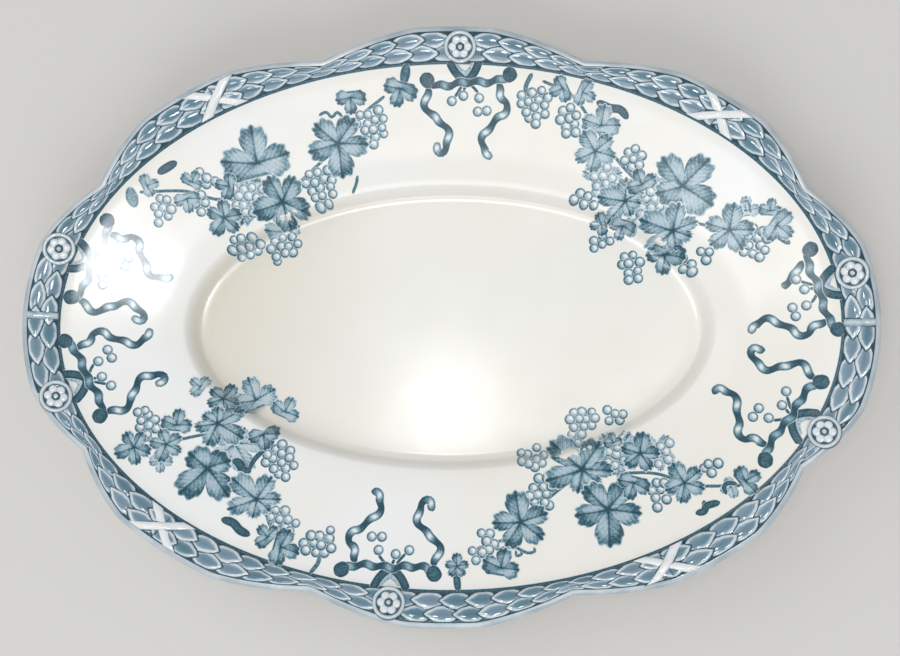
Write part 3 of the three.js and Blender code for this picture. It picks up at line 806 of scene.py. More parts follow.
leaf_points, leaf_rims = [], []
for i in range(LEAF_STEPS + 1):
    s = i / LEAF_STEPS
    taper = max(LEAF_BLUNT, math.sin(math.pi * s**LEAF_SWELL)) ** LEAF_FULL
    for q in LEAF_SHARES:
        dome = LEAF_DOME * (1 - q * q) ** LEAF_ROUND * taper + LEAF_TILT * s
        leaf_points.append((s / MM, taper * q / 2 / MM, dome / MM))
        leaf_rims.append(1 - (1 - abs(q)) * taper)
in_row = len(LEAF_SHARES)
under = len(leaf_points)
for i in range(LEAF_STEPS + 1):
    leaf_points.append((i / LEAF_STEPS / MM, 0, LEAF_KEEL / MM))
    leaf_rims.append(1)
leaf_faces = joined_rows(LEAF_STEPS + 1, in_row, closed=False)
for i in range(LEAF_STEPS):
    a, c = i * in_row, under + i
    leaf_faces.append((a, c, c + 1, a + in_row))
    leaf_faces.append((a + in_row - 1, a + 2 * in_row - 1, c + 1, c))
leaf_faces.append((*range(in_row), under))
leaf_faces.append((*reversed(range(under - in_row, under)), under + LEAF_STEPS))
laurel_leaf = placed("laurel_leaf", mesh_from("laurel_leaf", leaf_points, leaf_faces, rim=leaf_rims))
print("a laurel leaf has", len(leaf_faces), "faces")

# %% Tree that lays the leaves
LEAF_SHORTEST = 0.92

tree, given = new_tree(
    "Laurel garland",
    Leaf="Object",
    Columns="Int",
    Rows="Int",
    Slab_length="Float",
    Leaf_end="Float",
    Pitch="Float",
    Leaf_length="Float",
    Leaf_share="Float",
    Leaf_rise="Float",
    Row_gap="Float",
    Seed="Int",
    Glaze="Material",
)
count = add(tree, "ShaderNodeMath", [given["Columns"], given["Rows"]], operation="MULTIPLY")
seats = add(tree, "GeometryNodePoints", [count])
number = add(tree, "GeometryNodeInputIndex")
row = add(tree, "ShaderNodeMath", [number, given["Rows"]], operation="MODULO")
rank = add(tree, "ShaderNodeMath", [number, given["Rows"]], operation="DIVIDE")
column = add(tree, "ShaderNodeMath", [rank], operation="FLOOR")
steps = add(tree, "ShaderNodeMath", [row, 0.5, column], operation="MULTIPLY_ADD")
back = add(tree, "ShaderNodeMath", [steps, given["Pitch"], given["Leaf_length"]], operation="MULTIPLY_ADD")
along = add(tree, "ShaderNodeMath", [given["Leaf_end"], back], operation="SUBTRACT")
last_row = add(tree, "ShaderNodeMath", [given["Rows"], 1.0], operation="SUBTRACT")
middle = add(tree, "ShaderNodeMath", [last_row, 0.5], operation="MULTIPLY")
off = add(tree, "ShaderNodeMath", [row, middle], operation="SUBTRACT")
aside = add(tree, "ShaderNodeMath", [off, given["Row_gap"], 0.5], operation="MULTIPLY_ADD")
base = add(tree, "ShaderNodeCombineXYZ", [along, aside])
lined_up = add(tree, "GeometryNodeSetPosition", {0: seats, "Position": base})
tip = add(tree, "ShaderNodeMath", [along, given["Leaf_length"]], operation="ADD")
behind = add(tree, "ShaderNodeMath", [tip, 0.0], operation="LESS_THAN")
seated = add(tree, "GeometryNodeDeleteGeometry", [lined_up, behind], domain="POINT")
vary = add(tree, "FunctionNodeRandomValue", {2: LEAF_SHORTEST, 3: 1.0, "Seed": given["Seed"]})
length = add(tree, "ShaderNodeMath", [given["Leaf_length"], vary.outputs[1]], operation="MULTIPLY")
leaf_size = add(tree, "ShaderNodeCombineXYZ", [length, given["Leaf_share"], given["Leaf_rise"]])
shape = add(tree, "GeometryNodeObjectInfo", [given["Leaf"]])
leaves = add(
    tree,
    "GeometryNodeInstanceOnPoints",
    {0: seated, "Instance": shape.outputs["Geometry"], "Scale": leaf_size},
)
luck = add(tree, "FunctionNodeRandomValue", {2: 0.0, 3: 1.0, "Seed": given["Seed"]})
toned = add(
    tree,
    "GeometryNodeStoreNamedAttribute",
    {0: leaves, "Name": "tone", "Value": luck.outputs[1]},
    domain="INSTANCE",
)
laid_flat = add(tree, "GeometryNodeRealizeInstances", [toned])
print("leaves laid out flat with", len(tree.nodes), "nodes")

# %% The same tree bends the leaves onto the slab
MAP_MARGIN, MAP_ACROSS = 0.0008, (0.03, 0.96)
GROUND_RIM = 1.2

spread = add(tree, "ShaderNodeSeparateXYZ", [add(tree, "GeometryNodeInputPosition")])
run = add(tree, "ShaderNodeMath", [spread.outputs[0], given["Slab_length"]], operation="DIVIDE")
u = add(tree, "ShaderNodeClamp", [run, MAP_MARGIN, 1 - MAP_MARGIN])
v = add(tree, "ShaderNodeClamp", [spread.outputs[1], *MAP_ACROSS])
on_map = add(tree, "ShaderNodeCombineXYZ", [u, v])
slab_map, slab_facing = (
    add(tree, "GeometryNodeInputNamedAttribute", [name], data_type="FLOAT_VECTOR")
    for name in ("UVMap", "facing")
)
slab_place = add(tree, "GeometryNodeInputPosition")
seat_place, facing = (
    add(
        tree,
        "GeometryNodeSampleUVSurface",
        [given["Geometry"], value, slab_map, on_map],
        data_type="FLOAT_VECTOR",
    )
    for value in (slab_place, slab_facing)
)
lift = add(tree, "ShaderNodeVectorMath", {0: facing, "Scale": spread.outputs[2]}, operation="SCALE")
onto = add(tree, "ShaderNodeVectorMath", [seat_place, lift], operation="ADD")
bent = add(tree, "GeometryNodeSetPosition", {0: laid_flat, "Position": onto})
ground = add(
    tree, "GeometryNodeStoreNamedAttribute", {0: given["Geometry"], "Name": "rim", "Value": GROUND_RIM}
)
both = add(tree, "GeometryNodeJoinGeometry", [ground])
tree.links.new(bent.outputs[0], both.inputs[0])
close_tree(tree, both, given["Glaze"])
garland_tree = tree
print(tree.name, "has", len(tree.nodes), "nodes")

# %% Lay the twelve garlands
LEAF_PITCH, LEAF_LENGTH, LEAF_ROWS = 6.9, 9.8, 2
LEAF_SHARE, ROW_GAP, LEAF_RISE = 0.68, 0.45, 0.8
ROSETTE_COVER, TIP_OVERRUN, RUN_STEPS = 2.0, 3.6, 40


def border_run(start, end):
    """Length along the border's middle line between two angles."""
    line = [on_flange(angle, border_middle(angle)) for angle in np.linspace(start, end, RUN_STEPS)]
    return sum((b - a).length for a, b in zip(line, line[1:]))


def garland(name, start, end, seed):
    """A length of laurel from a tie to a rosette. The leaf is mirrored where the slab's map is mirrored."""
    length = border_run(start, end)
    mesh = grown(
        "laurel_" + name,
        garland_tree,
        border_slab(name, start, end),
        Leaf=laurel_leaf,
        Columns=math.ceil((length + TIP_OVERRUN) / LEAF_PITCH),
        Rows=LEAF_ROWS,
        Slab_length=length * MM,
        Leaf_end=(length + TIP_OVERRUN) * MM,
        Pitch=LEAF_PITCH * MM,
        Leaf_length=LEAF_LENGTH * MM,
        Leaf_share=math.copysign(LEAF_SHARE, start - end),
        Leaf_rise=LEAF_RISE * MM,
        Row_gap=ROW_GAP,
        Seed=seed,
        Glaze=laurel_glaze,
    )
    finish_piece("laurel_" + name, mesh, "printed_relief", "garland_" + name)


tie_names = list(TIES)
for i, (rosette, at) in enumerate(ROSETTES.items()):
    first, second = tie_names[i], tie_names[(i + 1) % len(tie_names)]
    second_at = TIES[second] + (360 if TIES[second] < at else 0)
    covered = degrees_for(ROSETTE_COVER, at)
    garland("before_" + rosette, TIES[first], at - covered, 2 * i)
    garland("after_" + rosette, second_at, at + covered, 2 * i + 1)
bpy.data.objects.remove(laurel_leaf)

# %% [markdown]
# ## Ribbons and bands
# A tie is two flat ribbons of clay, one laid over the other. Each is a strip with a pillowed top that
# follows the flange, so it is built row by row across its path. The upper ribbon humps over the lower one
# where they cross. The band at each end of the plate is one such strip, straight across the border.

# %% Ribbons
RIBBON_WIDTH, RIBBON_RISE, RIBBON_LIFT, RIBBON_BED = 4.9, 0.5, 0.75, 0.3
RIBBON_HUMP, HUMP_SPREAD, END_DROP, PILLOW_CURVE = 0.35, 0.35, 0.6, 2.5
BAND_WIDTH, BAND_SHADE = 2.8, 0.6
RIBBON_SHARES = (-1, -0.82, -0.6, 0, 0.6, 0.82, 1)
RIBBON_RIMS = (1.1, 0.95, 0.2, 0.0, 0.2, 0.95, 1.1)
BED_RIMS = (1.1, 1.1)


def along_border(angle, reach):
    """The direction of the border at an angle."""
    step = 0.5
    return (on_flange(angle + step, reach) - on_flange(angle - step, reach)).normalized()


def ribbon(path, width, hump=0.0, shade=0.0):
    """A pillowed strip along a path of (angle, reach), its width measured along the border."""
    points, rims = [], []
    centres = [on_flange(angle, reach) for angle, reach in path]
    across = len(RIBBON_SHARES) + 2
    for i, (angle, reach) in enumerate(path):
        ahead = (centres[min(i + 1, len(path) - 1)] - centres[max(i - 1, 0)]).normalized()
        normal = flange_normal(angle, reach)
        along = along_border(angle, reach)
        side = along * math.copysign(1, along.dot(normal.cross(ahead)))
        t = 2 * i / (len(path) - 1) - 1
        lift = RIBBON_LIFT * (1 - END_DROP * t**6) + hump * math.exp(-((t / HUMP_SPREAD) ** 2))
        for q in RIBBON_SHARES:
            rise = RIBBON_RISE * (1 - abs(q) ** PILLOW_CURVE)
            points.append(centres[i] + side * (q * width / 2) + normal * (lift + rise))
        for q in (1, -1):
            points.append(centres[i] + side * (q * width / 2) - normal * RIBBON_BED)
        rims += [*(rim + shade for rim in RIBBON_RIMS), *BED_RIMS]
    faces = joined_rows(len(path), across)
    faces.append(tuple(range(across)))
    faces.append(tuple(reversed(range(len(points) - across, len(points)))))
    return points, faces, rims


def joined(name, parts):
    """One mesh from several lists of points, faces and rims."""
    points, faces, rims = [], [], []
    for more_points, more_faces, more_rims in parts:
        start = len(points)
        points += more_points
        faces += [tuple(k + start for k in face) for face in more_faces]
        rims += more_rims
    return mesh_from(name, points, faces, rim=rims)


# %% Lay ties and bands
TIE_LENGTH, RIBBON_REACH, RIBBON_STEPS, RIBBON_CREASE = 12.0, 0.9, 24, 50

for name, at in TIES.items():
    parts = []
    shares = np.linspace(-1, 1, RIBBON_STEPS)
    if "band" in name:
        path = [(at, border_middle(at) + s * (border_outer(at) - BORDER_INNER) / 2) for s in shares]
        parts.append(ribbon(path, BAND_WIDTH, shade=BAND_SHADE))
    else:
        tie_half = degrees_for(TIE_LENGTH / 2, at)
        for lean, hump in ((1, 0.0), (-1, RIBBON_HUMP)):
            path = []
            for s in shares:
                angle = at + s * tie_half * RIBBON_REACH
                middle, room = border_middle(angle), (border_outer(angle) - BORDER_INNER) / 2
                path.append((angle, middle + lean * s * room))
            parts.append(ribbon(path, RIBBON_WIDTH, hump))
    mesh = joined("clay_" + name, parts)
    mesh.materials.append(pale_glaze)
    mesh.set_sharp_from_angle(angle=math.radians(RIBBON_CREASE))
    finish_piece("clay_" + name, mesh, "pale_relief", name)

# %% [markdown]
# ## Rosettes
# A rosette is a sprigged button: a ring, a sunk ground, six petals and a boss in the middle. The ring,
# ground and boss are one turned form, and the tree sets the petals round it. The result is then moved
# onto its seat. Each row of a turned form holds its radius, its height and its "rim".

# %% Petal and turned form
PETALS, PETAL_SEAT, TURNED_SECTORS = 6, 2.0, 40
TURNED = (
    (0.0, 2.1, 0.6),
    (0.5, 2.05, 0.65),
    (0.66, 2.0, 1.0),
    (0.95, 1.95, 1.1),
    (1.12, 1.75, 1.1),
    (1.2, 1.4, 0.8),
    (1.35, 1.4, 0.25),
    (2.3, 1.35, 0.3),
    (2.6, 1.25, 1.05),
    (3.3, 1.3, 1.0),
    (3.5, 1.55, 0.65),
    (3.85, 1.75, 0.45),
    (4.2, 1.6, 0.55),
    (4.42, 1.2, 1.0),
    (4.5, 0.6, 1.15),
    (4.5, -0.6, 1.15),
)
PETAL = (
    (0.0, 1.62, 0.25),
    (0.6, 1.6, 0.25),
    (0.95, 1.52, 0.4),
    (1.15, 1.35, 0.7),
    (1.25, 1.0, 0.9),
    (1.25, 0.8, 1.0),
)


def fan_faces(rings, sectors):
    """Faces of rings of points, the first of which is a single point."""
    return [(0, 1 + k, 1 + (k + 1) % sectors) for k in range(sectors)] + joined_rows(rings - 1, sectors, 1)


def turned(profile, centre=0.0):
    """A closed turned form from rows of (radius, height, rim), as points, faces and rims."""
    points, rims = [(centre, 0, profile[0][1])], [profile[0][2]]
    for radius, z, rim in profile[1:]:
        for k in range(TURNED_SECTORS):
            t = math.tau * k / TURNED_SECTORS
            points.append((centre + radius * math.cos(t), radius * math.sin(t), z))
            rims.append(rim)
    faces = fan_faces(len(profile), TURNED_SECTORS)
    faces.append(tuple(reversed(range(len(points) - TURNED_SECTORS, len(points)))))
    return points, faces, rims


petal = placed("petal", joined("petal", [turned(PETAL, PETAL_SEAT)]))
print("a petal has", len(petal.data.polygons), "faces")

# %% Tree that sets the petals
tree, given = new_tree("Sprigged rosette", Petal="Object", Petals="Int", Glaze="Material")
seats = add(tree, "GeometryNodePoints", [given["Petals"]])
number = add(tree, "GeometryNodeInputIndex")
share = add(tree, "ShaderNodeMath", [number, given["Petals"]], operation="DIVIDE")
bearing = add(tree, "ShaderNodeMath", [share, math.tau], operation="MULTIPLY")
round_about = add(tree, "ShaderNodeCombineXYZ", {2: bearing})
spin = add(tree, "FunctionNodeEulerToRotation", [round_about])
shape = add(tree, "GeometryNodeObjectInfo", [given["Petal"]])
petals = add(
    tree,
    "GeometryNodeInstanceOnPoints",
    {0: seats, "Instance": shape.outputs["Geometry"], "Rotation": spin},
)
both = add(tree, "GeometryNodeJoinGeometry", [given["Geometry"]])
tree.links.new(petals.outputs[0], both.inputs[0])
close_tree(tree, both, given["Glaze"])
print(tree.name, "has", len(tree.nodes), "nodes")

# %% Seat the rosettes
ROSETTE_CREASE = 60


def seat(angle, reach):
    """A place on the flange: X along the border, Y towards the middle of the plate, Z off the glaze."""
    normal = flange_normal(angle, reach)
    along = along_border(angle, reach)
    axes = Matrix((along, normal.cross(along), normal)).transposed().to_4x4()
    return Matrix.Translation(on_flange(angle, reach) * MM) @ axes


for name, at in ROSETTES.items():
    base = joined("turned_" + name, [turned(TURNED)])
    mesh = grown("sprigged_" + name, tree, base, Petal=petal, Petals=PETALS, Glaze=pale_glaze)
    mesh.transform(seat(at, border_middle(at)))
    mesh.set_sharp_from_angle(angle=math.radians(ROSETTE_CREASE))
    finish_piece("sprigged_" + name, mesh, "pale_relief", name)
bpy.data.objects.remove(petal)

# %% [markdown]
# ## The print
# Vine sprays and bows are drawn flat, as an engraver would, from a few drawings: five kinds of leaf and a
# grape. They are then laid on the glaze by the same rule that shaped the plate, as films a few hundredths
# of a millimetre thick. Later drawings lie a hair above earlier ones, so a leaf covers the grapes behind
# it.

# %% Leaf drawing
LOBES = {
    "vine_leaf": ((0, 0.54), (82, 0.49), (-82, 0.49), (137, 0.48), (-137, 0.48)),
    "fan_leaf": ((0, 0.58), (59, 0.52), (-83, 0.46), (-141, 0.42), (120, 0.32), (180, 0.32)),
    "wing_leaf": ((40, 0.55), (-40, 0.57), (108, 0.42), (-118, 0.55)),
    "paired_leaf": ((42, 0.56), (-42, 0.57), (112, 0.36), (-125, 0.38)),
    "trefoil": ((0, 0.55), (80, 0.53), (-80, 0.5)),
}
HALF_LOBE_STEPS, WIDEST_HALF_LOBE = 12, 60
SINUS, TOOTH, TEETH, LIT_SIDE = 0.25, 0.11, 2.5, 0.28
LEAF_RINGS = ((0.0, 0.95), (0.2, 0.6), (0.45, 0.4), (0.7, 0.45), (0.85, 0.75), (0.92, 1.0), (1.0, 1.0))
BLEED_MARGIN = 0.03


def leaf_drawing(name, lobes):
    """A flat leaf of unit size, with toothed lobes of (heading, length), each with a lit side."""
    headings = sorted(lobes)
    rim_line = []
    for i, (heading, length) in enumerate(headings):
        before = headings[i - 1][0] - (360 if i == 0 else 0)
        after = headings[(i + 1) % len(headings)][0] + (360 if i == len(headings) - 1 else 0)
        for way, room in ((-1, heading - before), (1, after - heading)):
            gap = min(room / 2, WIDEST_HALF_LOBE)
            steps = range(HALF_LOBE_STEPS, 0, -1) if way < 0 else range(HALF_LOBE_STEPS)
            for k in steps:
                q = k / HALF_LOBE_STEPS
                radius = SINUS + (length - SINUS) * (1 - q**3)
                radius *= 1 - TOOTH + TOOTH * abs(math.cos(TEETH * math.pi * q))
                rim_line.append((heading + way * q * gap, radius, q * gap, way))
    rings = LEAF_RINGS + ((1.0 + BLEED_MARGIN, 0.0),)
    points, ink, along, across = [(0, 0, 0)], [rings[0][1]], [0.0], [0.0]
    for share, amount in rings[1:]:
        for turn, radius, off, way in rim_line:
            r = radius * share + (BLEED_MARGIN if share > 1 else 0)
            t = math.radians(turn)
            points.append((r * math.cos(t) / MM, r * math.sin(t) / MM, 0))
            ink.append(min(1.0, amount * (1 + LIT_SIDE * way)))
            along.append(r * math.cos(math.radians(off)))
            across.append(r * math.sin(math.radians(off)))
    faces = fan_faces(len(rings), len(rim_line))
    return mesh_from(name, points, faces, ink=ink, along=along, across=across)


# %% Grape drawing
GRAPE_RINGS = ((0.0, 0.16), (0.2, 0.2), (0.32, 0.36), (0.4, 0.85), (0.46, 0.85), (0.53, 0.0))
GRAPE_SECTORS, GRAPE_SHADE, GRAPE_LIGHT, GRAPE_EDGE = 14, 0.18, 0.8, 0.5


def grape_drawing(name):
    """A flat grape of unit size with a dark outline and a pale light on it."""
    points, ink = [(0, 0, 0)], [GRAPE_RINGS[0][1]]
    for radius, amount in GRAPE_RINGS[1:]:
        for k in range(GRAPE_SECTORS):
            t = math.tau * k / GRAPE_SECTORS
            shade = GRAPE_SHADE * math.cos(t - GRAPE_LIGHT) if radius < GRAPE_EDGE else 0
            points.append((radius * math.cos(t) / MM, radius * math.sin(t) / MM, 0))
            ink.append(max(0.0, amount - shade) if amount else 0.0)
    ones = [1.0] * len(points)
    faces = fan_faces(len(GRAPE_RINGS), GRAPE_SECTORS)
    return mesh_from(name, points, faces, ink=ink, along=ones, across=ones)


# %% Keep the drawings for the stamp
KINDS = (*LOBES, "grape")

drawings = bpy.data.collections.new("drawings")
scene.collection.children.link(drawings)
for i, kind in enumerate(KINDS):
    label = f"drawing_{i}_{kind}"
    outline_mesh = grape_drawing(label) if kind == "grape" else leaf_drawing(label, LOBES[kind])
    drawings.objects.link(bpy.data.objects.new(label, outline_mesh))

# %% Tree that stamps the drawings
tree, given = new_tree("Stamped print", Drawings="Collection", Ink="Material")
wanted = {
    name: add(tree, "GeometryNodeInputNamedAttribute", [name], data_type="FLOAT")
    for name in ("kind", "heading", "size")
}
stamps = add(tree, "GeometryNodeCollectionInfo", [given["Drawings"], True, True])
way = add(tree, "ShaderNodeCombineXYZ", {2: wanted["heading"]})
spin = add(tree, "FunctionNodeEulerToRotation", [way])
stamped = add(
    tree,
    "GeometryNodeInstanceOnPoints",
    {
        0: given["Geometry"],
        "Instance": stamps,
        "Pick Instance": True,
        "Instance Index": wanted["kind"],
        "Rotation": spin,
        "Scale": wanted["size"],
    },
)
close_tree(tree, stamped, given["Ink"])
stamp_tree = tree
print(tree.name, "has", len(tree.nodes), "nodes")

# %% [markdown]
# ## Laying the print on the glaze
# A flat drawing is dropped straight down. For each point the reach is found by a few Newton steps on the
# ellipse rule, outside the verge and inside it. The height follows from the flange, the step or the
# floor.

# %% Height of the glaze under a point
STEP_END, STEP_SIDE = VERGE_A - FLOOR_A, VERGE_B - FLOOR_B
NEWTON_STEPS, MOST_REACH, TINY = 14, 60, 1e-9
CURVE_STEPS = 80

step_widths, step_heights = step_curve(CURVE_STEPS, GATHERED_STEP).T


def glaze_height(x, y):
    """Height in mm of the plate's top above points given in mm."""
    reach = np.zeros_like(x)
    inside = np.zeros_like(x)
    for _ in range(NEWTON_STEPS):
        a, b = VERGE_A + reach, VERGE_B + reach
        miss = (x / a) ** 2 + (y / b) ** 2 - 1
        slope = 2 * x**2 / a**3 + 2 * y**2 / b**3 + TINY
        reach = np.clip(reach + miss / slope, 0, MOST_REACH)
        a, b = VERGE_A - STEP_END * inside, VERGE_B - STEP_SIDE * inside
        miss = (x / a) ** 2 + (y / b) ** 2 - 1
        slope = 2 * STEP_END * x**2 / a**3 + 2 * STEP_SIDE * y**2 / b**3 + TINY
        inside = np.clip(inside - miss / slope, 0, 1)
    on_step = step_height(np.interp(1 - inside, step_widths, step_heights))
    on_floor = floor_height(np.minimum(1, np.hypot(x / FLOOR_A, y / FLOOR_B)))
    return np.where(reach > 0, flange_height(reach), np.where(inside < 1, on_step, on_floor))


corner_height = glaze_height(np.array([0.0]), np.array([VERGE_B + BORDER_INNER]))
print("glaze at the border is", np.round(corner_height, 2), "mm high")

# %% Lay flat sheets on the glaze
FILM_LIFT, FILM_STEP, FILM_THICKNESS, FILM_CREASE, SLOPE_STEP = 0.02, 0.006, 0.06, 40, 0.05
SHEET_FIELDS = ("ink", "tone", "along", "across")


def lay(name, sheets):
    """Lays flat sheets of points with layer, faces and fields on the glaze as one film."""
    points = np.concatenate([np.asarray(s[0], dtype=float) for s in sheets])
    starts = np.cumsum([0] + [len(s[0]) for s in sheets])
    faces = [tuple(k + start for k in f) for s, start in zip(sheets, starts) for f in s[1]]
    fields = {f: np.concatenate([s[i] for s in sheets]) for i, f in enumerate(SHEET_FIELDS, start=2)}
    x, y, layer = points.T
    z = glaze_height(x, y)
    slope_x = (glaze_height(x + SLOPE_STEP, y) - glaze_height(x - SLOPE_STEP, y)) / (2 * SLOPE_STEP)
    slope_y = (glaze_height(x, y + SLOPE_STEP) - glaze_height(x, y - SLOPE_STEP)) / (2 * SLOPE_STEP)
    normal = np.stack([-slope_x, -slope_y, np.ones_like(x)], axis=1)
    normal /= np.linalg.norm(normal, axis=1)[:, None]
    laid = np.stack([x, y, z], axis=1) + normal * (FILM_LIFT + FILM_STEP * layer)[:, None]
    holder = placed(name + "_film", mesh_from(name + "_film", laid.tolist(), faces, **fields))
    holder.data.materials.append(print_glaze)
    wall = holder.modifiers.new("film", "SOLIDIFY")
    wall.thickness = FILM_THICKNESS * MM
    wall.offset = -1
    mesh = plain_mesh(holder, name)
    mesh.set_sharp_from_angle(angle=math.radians(FILM_CREASE))
    finish_piece(name, mesh, "printed_relief")


# %% Strokes of the engraver
STROKE_STEP, STROKE_MARGIN, STROKE_FACE = 0.5, 0.25, 0.75
STROKE_CORE, STROKE_END = 0.4, 0.01
BEAD_FACE, BEAD_EDGE = 0.08, 0.6
TWIST_SWAY, TWIST_PINCH, TWIST_CURVE = 0.35, 0.3, 0.8


def smooth_path(points):
    """A smooth path through the given points, with an even step."""
    p = np.asarray(points, dtype=float)
    ends = np.vstack([2 * p[0] - p[1], p, 2 * p[-1] - p[-2]])
    found = []
    for i in range(len(p) - 1):
        a, b, c, d = ends[i : i + 4]
        count = max(2, int(np.linalg.norm(c - b) / STROKE_STEP))
        for t in np.arange(count) / count:
            bend = 2 * b + (c - a) * t + (2 * a - 5 * b + 4 * c - d) * t**2
            found.append(0.5 * (bend + (3 * b - a - 3 * c + d) * t**3))
    return np.array(found + [p[-1]])


def stroke(points, width, tone, layer=0, twist=0.0, point=0.5, bead=BEAD_FACE):
    """A printed line along a path, its ends drawn in. A twist sets pale beads between its turns."""
    path = smooth_path(points)
    ahead = np.gradient(path, axis=0)
    ahead /= np.linalg.norm(ahead, axis=1)[:, None] + TINY
    side = np.stack([-ahead[:, 1], ahead[:, 0]], axis=1)
    run = np.concatenate([[0], np.cumsum(np.linalg.norm(np.diff(path, axis=0), axis=1))])
    turn = (0.5 + 0.5 * np.cos(math.tau * run / twist)) ** TWIST_CURVE if twist else np.zeros_like(run)
    breadth = width * (1 - TWIST_PINCH * turn)
    if twist:
        path = path + side * (TWIST_SWAY * np.sin(math.tau * run / twist))[:, None]
    if point:
        near_end = np.minimum(1, np.minimum(run, run[-1] - run) / (point * width))
        breadth = breadth * np.sqrt(np.maximum(STROKE_END, near_end * (2 - near_end)))
    face = bead + (1 - bead) * turn if twist else np.full_like(run, STROKE_FACE)
    full = BEAD_EDGE + (1 - BEAD_EDGE) * turn if twist else np.ones_like(run)
    clear = np.zeros_like(run)
    sheet_points, ink, tones, faces = [], [], [], []
    left = ((-1, -1, clear), (-1, 0, full), (-STROKE_CORE, 0, face))
    bands = (*left, *((-share, -margin, amount) for share, margin, amount in reversed(left)))
    for share, margin, amount in bands:
        offset = share * breadth / 2 + margin * STROKE_MARGIN
        row = path + side * offset[:, None]
        sheet_points += [(x, y, layer) for x, y in row]
        ink += list(amount)
        tones += [tone] * len(row)
    count = len(path)
    for j in range(len(bands) - 1):
        for i in range(count - 1):
            a = j * count + i
            faces.append((a, a + 1, a + count + 1, a + count))
    ones = np.ones(len(sheet_points))
    return sheet_points, faces, np.array(ink), np.array(tones), ones, ones


# %% Stamp
def stamp(name, seats):
    """Stamps drawings at seats of (kind, x, y, heading, size, tone), later ones above earlier ones."""
    base = mesh_from(
        name,
        [(x, y, layer) for layer, (_, x, y, _, _, _) in enumerate(seats)],
        [],
        kind=[KINDS.index(s[0]) for s in seats],
        heading=[math.radians(s[3]) for s in seats],
        size=[s[4] * MM for s in seats],
        tone=[s[5] for s in seats],
    )
    mesh = grown(name, stamp_tree, base, Drawings=drawings, Ink=print_glaze)
    fields = {}
    for field in SHEET_FIELDS:
        fields[field] = np.empty(len(mesh.vertices), dtype=np.float32)
        mesh.attributes[field].data.foreach_get("value", fields[field])
    points = np.empty(len(mesh.vertices) * 3, dtype=np.float32)
    mesh.vertices.foreach_get("co", points)
    faces = [tuple(face.vertices) for face in mesh.polygons]
    bpy.data.meshes.remove(mesh)
    return points.reshape(-1, 3) / MM, faces, *fields.values()


# %% [markdown]
# ## Vine sprays
# Each quarter of the flange has one spray: a stem, large lobed leaves, bunches of grapes, a few small
# leaves, and strokes for twigs and tendrils. A bunch is a rule too: rows of grapes that narrow away from
# the stalk, each a little out of place. In the layout a stroke is (width, tone, path), a bunch is (x, y,
# heading, count, tone) and a leaf is (kind, x, y, heading, size, tone).

# %% Bunches
GRAPE_SIZE, GRAPE_VARIETY, GRAPE_TURN, GRAPE_JITTER = 2.8, 0.1, 25, 0.4
BUNCH_BREADTH, BUNCH_ROW, BUNCH_GAP, BUNCH_SEED = 1.3, 0.74, 0.86, 11
draws = np.random.default_rng(BUNCH_SEED)


def bunch(x, y, heading, count, tone):
    """Grapes round a middle, in rows that narrow away from the stalk, as seats for the stamp."""
    widest = max(2, round(math.sqrt(count * BUNCH_BREADTH)))
    spots, row = [], 0
    while len(spots) < count:
        width = max(1, widest - row // 2 if row else widest - 1)
        for k in range(min(width, count - len(spots))):
            spots.append((row * GRAPE_SIZE * BUNCH_ROW, (k - (width - 1) / 2) * GRAPE_SIZE * BUNCH_GAP))
        row += 1
    spots = np.array(spots) + draws.uniform(-GRAPE_JITTER, GRAPE_JITTER, (count, 2))
    spots -= spots.mean(axis=0)
    c, s = math.cos(math.radians(heading)), math.sin(math.radians(heading))
    least = (-GRAPE_TURN, GRAPE_SIZE * (1 - GRAPE_VARIETY))
    most = (GRAPE_TURN, GRAPE_SIZE * (1 + GRAPE_VARIETY))
    return [
        ("grape", x + d * c - a * s, y + d * s + a * c, *draws.uniform(least, most), tone)
        for d, a in spots
    ]


